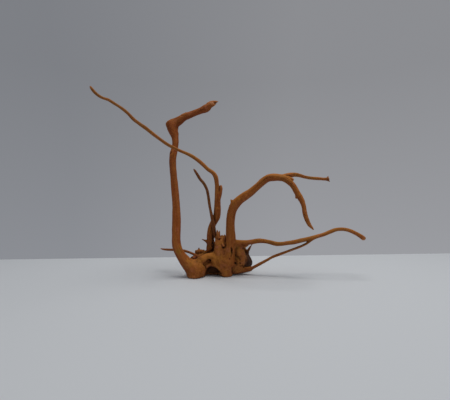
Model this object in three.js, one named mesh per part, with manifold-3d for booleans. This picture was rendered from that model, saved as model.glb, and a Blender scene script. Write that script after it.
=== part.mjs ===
// A dry, debarked root: a knotted stump with a hollow under it, and the
// branches and thin roots that grew out of it. It is one piece of wood.
// Millimetres, +Z up, +X along the longest spread, the front faces -Y.
// The origin is at the centre of the bounding box's underside, on the
// surface that the root stands on.
import * as THREE from "three";
import { mergeVertices } from "three/addons/utils/BufferGeometryUtils.js";
import Module from "manifold-3d";

// Driving dimensions.
const LONGEST_STEP = 13; // between rings along a limb
const STEP_PER_RADIUS = 3; // rings lie closer together on a thin limb
const THIN = 3.2; // a limb thinner than this radius has fewer sides
const SIDES_THIN = 6;
const SIDES_THICK = 8;
const CAP_RINGS = 2; // rings in each round end
const CAP_LENGTH = 0.7; // how far an end stands out, in radii
const FOOT_PLANE = 0; // the feet are worn flat at this height
const BIG = 600;

const LIMBS = {
  left_stem: [[-51.3, -14.5, 7.7, 11.12], [-58.4, -17.5, 12.1, 11.79], [-66.3, -19.5, 18.4, 9.68], [-72.7, -20.5, 25.9, 7.76], [-78.3, -20.5, 34, 6.88], [-82.6, -19.5, 42.6, 6.75], [-84.5, -17.5, 51.1, 6.48], [-85, -15.5, 59.7, 6.22], [-85.2, -12.5, 74.3, 6.18], [-85.7, -9.5, 89, 6.07], [-86.6, -6.5, 103.9, 5.74], [-88, -4.5, 119.1, 5.46], [-89.8, -2.5, 134.3, 5.33], [-91.4, -0.5, 149.7, 5.36], [-93, 1.5, 165.2, 5.3], [-93.3, 2.5, 177.7, 5.62], [-91.9, 3.5, 186.3, 5.4], [-90.1, 4.5, 195, 4.95], [-89.6, 5.5, 202.9, 5.12], [-90.6, 6.5, 210.9, 5.67], [-93.7, 7.5, 220.4, 7.39], [-95.6, 8.5, 226.9, 8.11], [-96.1, 8.5, 230.3, 6.71]],
  left_arm: [[-102.3, 8.5, 231.7, 2.03], [-99.3, 8.5, 232.2, 3.43], [-94, 9.5, 233.1, 5.63], [-87, 10.5, 235.8, 6.58], [-77.2, 12, 242.7, 5.34], [-67.9, 13.5, 247.2, 5.05], [-58.6, 14.5, 251.2, 4.66], [-49.2, 15.5, 255.2, 4.83], [-43.7, 16.5, 257.9, 5.71], [-40.4, 17, 260.1, 5.4], [-37.2, 17.5, 263.3, 4.21], [-33.8, 18.1, 265.4, 3.66]],
  long_branch: [[-36.7, 7.5, 25.8, 7.47], [-36.2, 6.5, 35.3, 5.44], [-35.7, 5.5, 46.3, 5.04], [-35.6, 4.5, 57.3, 4.87], [-34.1, 3.5, 68.2, 4.78], [-30.3, 2.5, 77.6, 4.93], [-26, 1.5, 86.1, 5.38], [-24.4, 0.5, 94.6, 5.21], [-24.2, -0.5, 106.9, 4.97], [-24.4, -1.5, 119.1, 4.43], [-24.8, -2.5, 131.3, 3.81], [-25.5, -3.5, 140.4, 3.65], [-26.9, -4.5, 147.9, 3.64], [-30.9, -5.5, 154, 3.25], [-38.4, -7.5, 159.1, 2.86], [-45.5, -9.5, 165.8, 2.85], [-53.1, -11.5, 172.1, 2.61], [-61.4, -13.5, 177.7, 2.38], [-70.3, -15.5, 182.1, 2.29], [-78.9, -17.5, 185.6, 2.28], [-87.4, -20.5, 189.4, 2.34], [-95.6, -23.5, 193.5, 2.33], [-103.5, -27.5, 198.5, 2.3], [-111, -30.5, 203.7, 2.29], [-118.4, -33.5, 209.3, 2.34], [-125.4, -36.5, 214.8, 2.47], [-133, -39.5, 220.1, 2.31], [-140.2, -42.5, 225.6, 2.29], [-147, -45.5, 232.9, 2.14], [-154.8, -48.5, 239, 2.06], [-163, -51.5, 244, 2.11], [-170.3, -54.5, 248.3, 2.03], [-176.6, -56.5, 249.9, 2.01], [-182.6, -58.5, 253.1, 2.07], [-187.4, -60.5, 257.7, 2.13], [-190.5, -61.5, 262, 1.79], [-191.2, -62, 263.3, 1.19]],
  long_branch_stub: [[-23.8, -0.5, 111.5, 3.37], [-21.3, -1, 118.3, 3.13], [-19.6, -1.5, 126, 2.67], [-19, -1.5, 131.3, 2.37], [-19, -1.5, 134.2, 1.76]],
  thin_branch: [[-23.9, -7.5, 47.5, 2.71], [-25.5, -6, 52.5, 1.97], [-26.5, -5, 56, 1.97], [-27.8, -5, 61, 2.35], [-29.1, -6, 66.9, 2.8], [-30.1, -6.5, 73.7, 2.87], [-31.6, -6.5, 82, 2.57], [-33.7, -4.5, 92.5, 2.2], [-35.8, -1.5, 102, 2.14], [-37.4, 2.5, 111.3, 2.16], [-38.9, 5.5, 120.6, 2.25], [-41.3, 8.5, 130, 2.26], [-46, 10.5, 138.7, 2.19], [-52.4, 12.5, 146.5, 2.2], [-56.9, 14, 154, 2.13], [-60.4, 15, 159.2, 1.74], [-62, 15.5, 161.8, 1.03]],
  arch: [[-7.5, -11.5, 20.4, 10.45], [-6.2, -12.5, 34, 8.94], [-5, -13.5, 46.1, 7.73], [-4.3, -14.5, 56.6, 6.97], [-4.5, -15.5, 68.6, 6.44], [-4.2, -17.5, 83.5, 6.34], [-2.5, -19.5, 95.4, 6.31], [1, -21.5, 104.7, 6.5], [7, -23.5, 112, 6.18], [15, -25.5, 118.2, 6], [23.8, -27.5, 123.9, 5.54], [31.8, -29.5, 130.8, 5.16], [40.3, -31.5, 138.3, 4.99], [48.2, -33.5, 144, 5.11], [57.9, -35.5, 145.2, 5.02], [67.4, -37.5, 144.1, 4.43], [75.4, -39.5, 140, 4.13], [82.3, -41.5, 132.8, 3.9], [86.9, -43.5, 123.8, 3.95], [92.1, -45.5, 114.2, 3.66], [95.2, -47.5, 104.6, 3.16], [96.2, -49.5, 95.2, 3.01], [98.8, -51.5, 85.5, 2.86], [101.9, -52.5, 78.9, 2.44], [105, -53.5, 75.2, 1.69], [106.6, -54, 73.3, 1.08]],
  arch_thorn: [[-0.3, -21.5, 106.4, 3.29], [-2.8, -21.5, 111.2, 1.9], [-4.4, -22, 113.7, 0.73]],
  arch_twig: [[64.1, -36.5, 144.6, 2.82], [71.6, -34, 147.2, 3.26], [77.8, -31.5, 148, 3.85], [82.8, -28.5, 148.8, 3.59], [88.5, -25.5, 149.5, 2.97], [96.9, -21.5, 148.5, 2.55], [104.8, -18.5, 146.8, 2.35], [114.8, -14.5, 145.5, 2.37], [126.4, -10.5, 145, 2.25], [137.3, -7, 144.5, 2.26], [142.5, -5.5, 144.5, 2.72]],
  arch_twig_up: [[140.5, -6, 144.4, 1.81], [143, -5, 146.9, 1.36], [143.5, -4.5, 149.1, 0.68]],
  arch_twig_down: [[140.5, -6, 144.4, 1.81], [144.4, -4.5, 142.4, 1.21], [146.5, -4, 140.8, 0.61]],
  right_branch: [[-5.3, -11.5, 47.3, 5.23], [2.2, -11.5, 48.9, 4.63], [9.6, -11.5, 49.5, 3.88], [18.8, -11.5, 49.5, 3.66], [27.6, -11.5, 50.4, 3.58], [36.5, -12, 52, 3.43], [45.4, -12.5, 51.8, 3.28], [54.4, -13, 50.2, 3.27], [63.2, -13.5, 47.9, 3.34], [71.9, -14, 48, 3.19], [80.7, -14.5, 49.4, 3.12], [89.5, -15, 50.6, 3.11], [98.2, -15.5, 52.8, 3.11], [107.6, -16, 55, 2.96], [115.7, -16.5, 56.9, 3.03], [124.4, -17, 59.6, 2.8], [133.3, -17.5, 62.3, 2.73], [142.1, -18, 66.2, 2.8], [150.6, -18.5, 69.5, 2.72], [159, -19, 70.3, 2.72], [167.6, -19.5, 69, 2.71], [176.5, -20, 65.4, 2.78], [185.2, -20.5, 60.5, 3.07], [189.6, -20.8, 57.3, 3.22]],
  lower_root: [[-3.7, -4.5, 8.4, 6.82], [3.9, -4.5, 6.4, 5], [11.5, -4.5, 5.9, 3.49], [17.5, -5, 6.8, 2.58], [23.6, -5.5, 8.1, 2.27], [31.2, -6.5, 11.8, 2.11], [40.4, -7.5, 17, 2.11], [49.6, -8.5, 22.3, 2.03], [58.3, -9.5, 27.5, 1.95], [67, -10.5, 31.1, 2.1], [75.8, -11.5, 34.5, 2.09], [84.4, -12.5, 38.1, 2.01], [93.1, -13.5, 41.5, 1.86], [101.8, -14.5, 45.2, 1.78], [108.8, -15.3, 48.9, 1.63], [113.6, -16, 52.7, 1.48], [116.9, -16.4, 56.3, 1.62]],
  left_rootlet: [[-45.8, -9.5, 22.2, 4.5], [-50.9, -9.5, 26.2, 2.55], [-55.5, -7.5, 29.2, 2.11], [-62.2, -3.5, 31.4, 1.98], [-69.6, 1.5, 33.1, 2], [-75.7, 6.5, 33.8, 2.02], [-83.3, 11, 34.3, 1.96], [-91.8, 14.5, 34.2, 1.9], [-100, 16.5, 34, 1.82], [-106.7, 18, 34.1, 1.67], [-111.7, 19.5, 34.4, 1.44], [-115.8, 20.5, 35.2, 0.8]],
  stem_thorn: [[-37.5, 4.5, 46.5, 3.4], [-40.8, 3.5, 49.1, 2.31], [-44.2, 2.5, 50.8, 1.46], [-48.6, 1.5, 52.8, 0.61]],
  arm_splinter_a: [[-39, 17.5, 264.7, 3.5], [-35.1, 18.5, 267.6, 2.87], [-30.3, 19.2, 269.5, 2.07], [-26.8, 19.7, 270.2, 1.44], [-23.6, 20.1, 270.1, 0.64]],
  arm_splinter_b: [[-38.1, 16, 261.7, 2.85], [-34.2, 16.5, 262.5, 2.38], [-30.5, 17.1, 264.1, 1.59], [-27.4, 17.5, 265.3, 0.64]],
  arm_splinter_c: [[-36.7, 20, 265.5, 2.56], [-31.2, 20.9, 267.2, 1.84], [-25.9, 21.5, 268.8, 0.64]],
  arch_bump_a: [[91.6, -45.5, 113.6, 2.76], [94.7, -45.5, 112.2, 1.93], [95.7, -45.5, 110.8, 1.1]],
  arch_bump_b: [[87.4, -44.5, 119.1, 2.77], [86, -44.5, 116.3, 1.66]],
};

const STRANDS = {
  foot_left: [[-55.7, -15.5, 14.9, 9.99], [-55.5, -17, 10.5, 13.57], [-56.7, -20, 3.9, 11.72], [-57.6, -22.5, -5, 9.18]],
  ridge: [[-52.7, -15.5, 17.4, 7.1], [-45.6, -15.5, 23.9, 6.36], [-38.7, -14.5, 28.6, 5.19], [-31, -14.5, 28.6, 5.93], [-24.6, -14.5, 23.3, 8.16], [-18.7, -13.5, 14.9, 9.29], [-13.5, -12.5, 5.7, 8.94], [-12, -12.5, -4.7, 8.2]],
  lip: [[-44.6, -14.5, 11.4, 4.45], [-39.8, -14, 15.3, 3.27], [-34.5, -13.5, 16.8, 3.27], [-29.8, -13.5, 16.1, 4.01], [-24.6, -13.5, 11.9, 4.83]],
  foot_mid: [[-11.3, -12.5, 20.6, 11.18], [-10.5, -12.5, 10.2, 9.69], [-10.2, -12.5, 1.2, 8.49], [-10.1, -12.5, -6.2, 7.75]],
  bulge: [[7.3, -7.5, 43.7, 6.4], [8.4, -6.5, 34.5, 8.46], [8.6, -5.5, 25.2, 9.23], [7.6, -4.5, 16.7, 9.25], [3.9, -4.5, 10.5, 7.89]],
  knob: [[-18.4, -10.5, 53.1, 5.61], [-19.3, -11.5, 46.5, 7.77], [-20.2, -11.5, 38.3, 9.33], [-18.7, -11.5, 26.4, 10.45]],
  knob_spike: [[-20.5, -11.5, 47.3, 4.78], [-21.9, -11.5, 55.5, 3.14], [-22.6, -11.5, 61.8, 2.24]],
  knob_r: [[-15, -11.5, 42.8, 4.48], [-13.9, -11.5, 51.8, 3.43], [-13.8, -11.5, 56.6, 2.69], [-13.1, -11.5, 60.7, 1.19]],
  back_left: [[-60.9, -0.5, 22, 5.36], [-53.1, 5.5, 21.5, 7.75], [-42.3, 7.5, 22.7, 9.34], [-29.8, 5.5, 23.1, 10.08]],
  lump1: [[-54.1, 8.5, 25.6, 4.68], [-53.6, 8.5, 32.2, 4.06], [-53.6, 8.5, 35.6, 1.87], [-53.5, 8.5, 37.7, 1.01]],
  lump1b: [[-48.7, 9.5, 28.6, 3.91], [-49.3, 9.5, 33.3, 3.28]],
  lump2: [[-43.6, 8.5, 25.6, 4.68], [-43.3, 8.5, 31.3, 3.59]],
  lump3: [[-57, -7.5, 21.8, 4.52], [-58.6, -7.5, 25.9, 3.77]],
  dark_burl: [[15.6, 13.5, 18.4, 9.46], [22.7, 19.5, 14.3, 7.82], [23.5, 21.5, 10.4, 6.73]],
  burl_neck: [[21.7, 19.5, 14, 6.39], [22.7, 19.5, 23.6, 3.51], [22.9, 19.5, 30, 2.16]],
  burl_twig1: [[22.9, 19.5, 28.4, 2.24], [19.9, 20.5, 34.3, 1.76], [15.6, 21.5, 39.4, 1.04]],
  burl_twig2: [[22.9, 19.5, 28.4, 2.55], [26, 18.5, 36.2, 1.91], [31.5, 17.5, 43.8, 0.87]],
  foot_lobe: [[-49.4, -14.5, 16.6, 7.42], [-46.5, -15, 12.2, 6.07], [-48.3, -15.5, 5.3, 5.48]],
  pocket_back: [[-46.7, -7.5, 18.8, 9.04], [-36.9, -6.5, 20.1, 9.06], [-26.3, -6.5, 20.1, 9.81]],
  web: [[-8.2, -5.5, 14.6, 9.84], [0.1, -4.5, 10.5, 7.58], [9, -4, 7.8, 4.86], [17.6, -4.5, 7.4, 3.34], [25.1, -5.5, 9.2, 2.57]],
  spike_a: [[-23.2, -11.5, 59.2, 2.24], [-24.1, -11.5, 64, 1.42], [-24.5, -11.5, 68.1, 0.67]],
  spike_b: [[-21.9, -11.5, 59.2, 2.24], [-21.3, -11.5, 63.4, 1.34], [-21, -11.5, 66.7, 0.67]],
  knob_m: [[-18, -9.5, 47, 4.5], [-17.4, -9.5, 54.5, 3.3], [-17.1, -9.5, 58.7, 1.95]],
  gap_fill: [[-31.2, 9.5, 28.6, 7.03], [-30.4, 9.5, 38, 4.69], [-30.6, 9.5, 43.4, 3.75], [-31.5, 8.5, 48.3, 2.26], [-31.4, 7.5, 53.8, 2.18], [-30.8, 6.5, 59.3, 2.8], [-31.6, 4.5, 68.1, 2.32]],
  lump1c: [[-56.9, 6.5, 30.4, 2.8], [-57.3, 6.5, 33.5, 1.86]],
  lump2b: [[-46.4, 11.5, 30.4, 2.67], [-45.9, 11.5, 34.5, 1.73]],
  twig_web: [[70.2, -37.5, 143.4, 3.24], [77.7, -37, 143.1, 3.1], [82.1, -38.5, 141.6, 1.82]],
  crook: [[6.8, -7.5, 43.7, 5.27], [15, -9.5, 44.6, 3.45], [20.5, -10.5, 45.7, 2.1]],
  knob_side: [[-24.7, -10.5, 58.5, 1.8], [-24.9, -10.5, 53.9, 2.54], [-24.1, -11.5, 46.5, 3.43]],
  knob_bump: [[-14.8, -18.5, 45.7, 2.35], [-16, -18.9, 48.1, 1.91]],
  core: [[-34.8, 1.5, 17, 13], [-12.8, 3.5, 22, 18], [5.2, 7.5, 20, 14]],
  back_ridge: [[-10.8, 3.5, 38, 12], [-7.8, 17.5, 30, 13], [-5.8, 29.5, 17, 12], [-5.8, 34.5, 5, 10], [-5.8, 36.5, -5, 9]],
  back_left_foot: [[-34.8, 9.5, 20, 10], [-41.8, 20.5, 12, 9.5], [-44.8, 26.5, 3, 8], [-45.8, 28.5, -5, 7]],
  back_right: [[-1.8, -2.5, 44, 9], [2.2, 9.5, 40, 10.5], [7.2, 19.5, 27, 11], [11.2, 25.5, 12, 9.5]],
  back_skirt: [[-48.8, -1.5, 8, 10], [-29.8, 0.5, 9, 13], [-7.8, -0.5, 8, 12]],
  back_stub: [[-8.8, 25.5, 26, 8.5], [-12.8, 37.5, 31, 5.6], [-13.8, 45.5, 35, 4.8], [-16.3, 51.5, 38, 4.3], [-17, 53.5, 39.2, 3.4]],
  back_rootlet: [[-32.8, 21.5, 18, 6.5], [-39.8, 29.5, 15, 4.2], [-47.8, 36.5, 13.5, 3.2], [-53.8, 44.5, 10.5, 2.7], [-61.8, 49.5, 8.6, 2.3], [-66.8, 56.5, 8.6, 1.8], [-69.8, 61.2, 10, 1.3]],
  back_right_root: [[7.2, 25.5, 14, 7], [14.2, 33.5, 11, 4.6], [18.2, 40.5, 9, 3.4], [24.2, 46.5, 6.5, 2.9], [25.2, 53.5, 6.2, 2.4], [22.2, 59, 8, 1.9], [23.2, 62.2, 9.5, 1.3]],
};

const CAVES = [
  [[-29.4, -40.5, -2, 12.4, 15.6], [-29.4, -20.5, -2, 12.2, 15.6], [-29.4, -18.0, 0, 11.6, 13.6], [-29.4, -15.5, 6, 9.5, 6.3], [-29.3, -8.5, 8, 5, 3.5]],
  [[-34.0, -40.5, -2, 9.4, 16.3], [-34.2, -20.5, -2, 9.2, 16.3], [-34.0, -18.0, 0, 8.6, 14.3], [-33.2, -15.5, 6, 7, 7.5], [-32.3, -8.5, 8, 5, 4]],
];

const wasm = await Module();
wasm.setup();

// A closed three.js geometry as a solid.
function solid(geometry) {
  const bare = geometry.index ? geometry.toNonIndexed() : geometry.clone();
  for (const name of Object.keys(bare.attributes))
    if (name !== "position") bare.deleteAttribute(name);
  const merged = mergeVertices(bare, 1e-4);
  const made = new wasm.Manifold(
    new wasm.Mesh({
      numProp: 3,
      vertProperties: merged.attributes.position.array,
      triVerts: new Uint32Array(merged.index.array),
    }),
  );
  return made;
}

// A limb: a capsule bent along a smooth curve through the points
// [x, y, z, r], with the radius following r and a blunt round cap on each end.
function limb(points, sides) {
  const curve = new THREE.CatmullRomCurve3(
    points.map((p) => new THREE.Vector3(p[0], p[1], p[2])),
    false,
    "centripetal",
  );
  const length = curve.getLength();
  const mean = points.reduce((sum, p) => sum + p[3], 0) / points.length;
  const step = Math.min(LONGEST_STEP, Math.max(6.5, mean * STEP_PER_RADIUS));
  const steps = Math.max(2, Math.round(length / step));
  const frames = curve.computeFrenetFrames(steps, false);
  const geometry = new THREE.CapsuleGeometry(1, 1, CAP_RINGS, sides, steps);
  const at = geometry.attributes.position;
  const last = points.length - 1;
  for (let i = 0; i < at.count; i++) {
    const y = at.getY(i);
    const u = Math.min(1, Math.max(0, y + 0.5));
    const ring = Math.round(u * steps);
    const t = curve.getUtoTmapping(u) * last;
    const k = Math.min(last - 1, Math.floor(t));
    const r = points[k][3] * (1 - t + k) + points[k + 1][3] * (t - k);
    const cap = Math.max(-1, Math.min(1, y - (u - 0.5)));
    const centre = curve.getPointAt(u);
    // x runs along the binormal and z along the normal, which keeps the faces
    // pointing out with the axis along +Y.
    centre.addScaledVector(frames.tangents[ring], cap * CAP_LENGTH * r);
    centre.addScaledVector(frames.binormals[ring], at.getX(i) * r);
    centre.addScaledVector(frames.normals[ring], at.getZ(i) * r);
    at.setXYZ(i, centre.x, centre.y, centre.z);
  }
  return geometry;
}

function sidesFor(points) {
  const mean = points.reduce((sum, p) => sum + p[3], 0) / points.length;
  return mean < THIN ? SIDES_THIN : SIDES_THICK;
}

let root = null;
for (const group of [STRANDS, LIMBS])
  for (const points of Object.values(group)) {
    const one = solid(limb(points, sidesFor(points)));
    root = root ? root.add(one) : one;
  }

// The hollow under the stump, open at the front and below: half-round tunnels
// whose sections run from front to back.
for (const sections of CAVES) {
  const last = sections.length - 1;
  const tunnel = new THREE.CylinderGeometry(1, 1, 1, 12, last, false);
  const at = tunnel.attributes.position;
  for (let i = 0; i < at.count; i++) {
    const [x, y, z, half, height] =
      sections[Math.round((at.getY(i) + 0.5) * last)];
    at.setXYZ(i, x + at.getX(i) * half, y, z + at.getZ(i) * height);
  }
  root = root.subtract(solid(tunnel));
}

// The feet are flat where the root stands.
const below = new THREE.BoxGeometry(BIG, BIG, BIG);
below.translate(0, 0, FOOT_PLANE - BIG / 2);
root = root.subtract(solid(below));

const made = root.getMesh();
const positions = new Float32Array(made.numVert * 3);
for (let i = 0; i < made.numVert; i++)
  positions.set(
    made.vertProperties.subarray(i * made.numProp, i * made.numProp + 3),
    i * 3,
  );
const geometry = new THREE.BufferGeometry();
geometry.setAttribute("position", new THREE.BufferAttribute(positions, 3));
geometry.setIndex(new THREE.BufferAttribute(new Uint32Array(made.triVerts), 1));
geometry.computeVertexNormals();

const wood = new THREE.MeshStandardMaterial({
  color: new THREE.Color(0.34, 0.15, 0.055),
  roughness: 0.72,
  metalness: 0,
});
const dryRoot = new THREE.Mesh(geometry, wood);
dryRoot.name = "dry_root";

const group = new THREE.Group();
group.add(dryRoot);

export default group;
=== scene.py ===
"""A dry, debarked root on a plain pale surface, in metres, +Z up.

The root is one piece of wood. Its branches and the strands of its stump are
smooth tubes melted together as a distance field on a grid, with hollows and
creases cut into them. The surface is taken off the grid, and then grain,
flutes, knots, cracks and pits are pressed into it.
"""

import math

import bpy
import numpy as np
from mathutils import Matrix, Vector


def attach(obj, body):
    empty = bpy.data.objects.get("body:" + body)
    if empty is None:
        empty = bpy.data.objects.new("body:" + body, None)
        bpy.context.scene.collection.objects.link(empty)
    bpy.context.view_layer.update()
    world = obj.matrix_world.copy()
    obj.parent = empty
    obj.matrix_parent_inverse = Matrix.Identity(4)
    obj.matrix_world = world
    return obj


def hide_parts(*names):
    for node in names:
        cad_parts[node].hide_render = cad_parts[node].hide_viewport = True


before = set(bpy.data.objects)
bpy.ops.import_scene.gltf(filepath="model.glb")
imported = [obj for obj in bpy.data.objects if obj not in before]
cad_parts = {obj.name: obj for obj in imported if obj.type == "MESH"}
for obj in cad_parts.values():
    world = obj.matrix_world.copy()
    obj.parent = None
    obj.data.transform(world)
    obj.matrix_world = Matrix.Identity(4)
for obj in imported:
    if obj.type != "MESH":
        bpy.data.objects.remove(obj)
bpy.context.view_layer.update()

# ---------------------------------------------------------------- dimensions
# All in millimetres until the mesh is made. Each point is x, y, z, radius.
CELL = 0.95  # grid cell
PAD = 5.0  # how far the field is worked out from a surface

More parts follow.
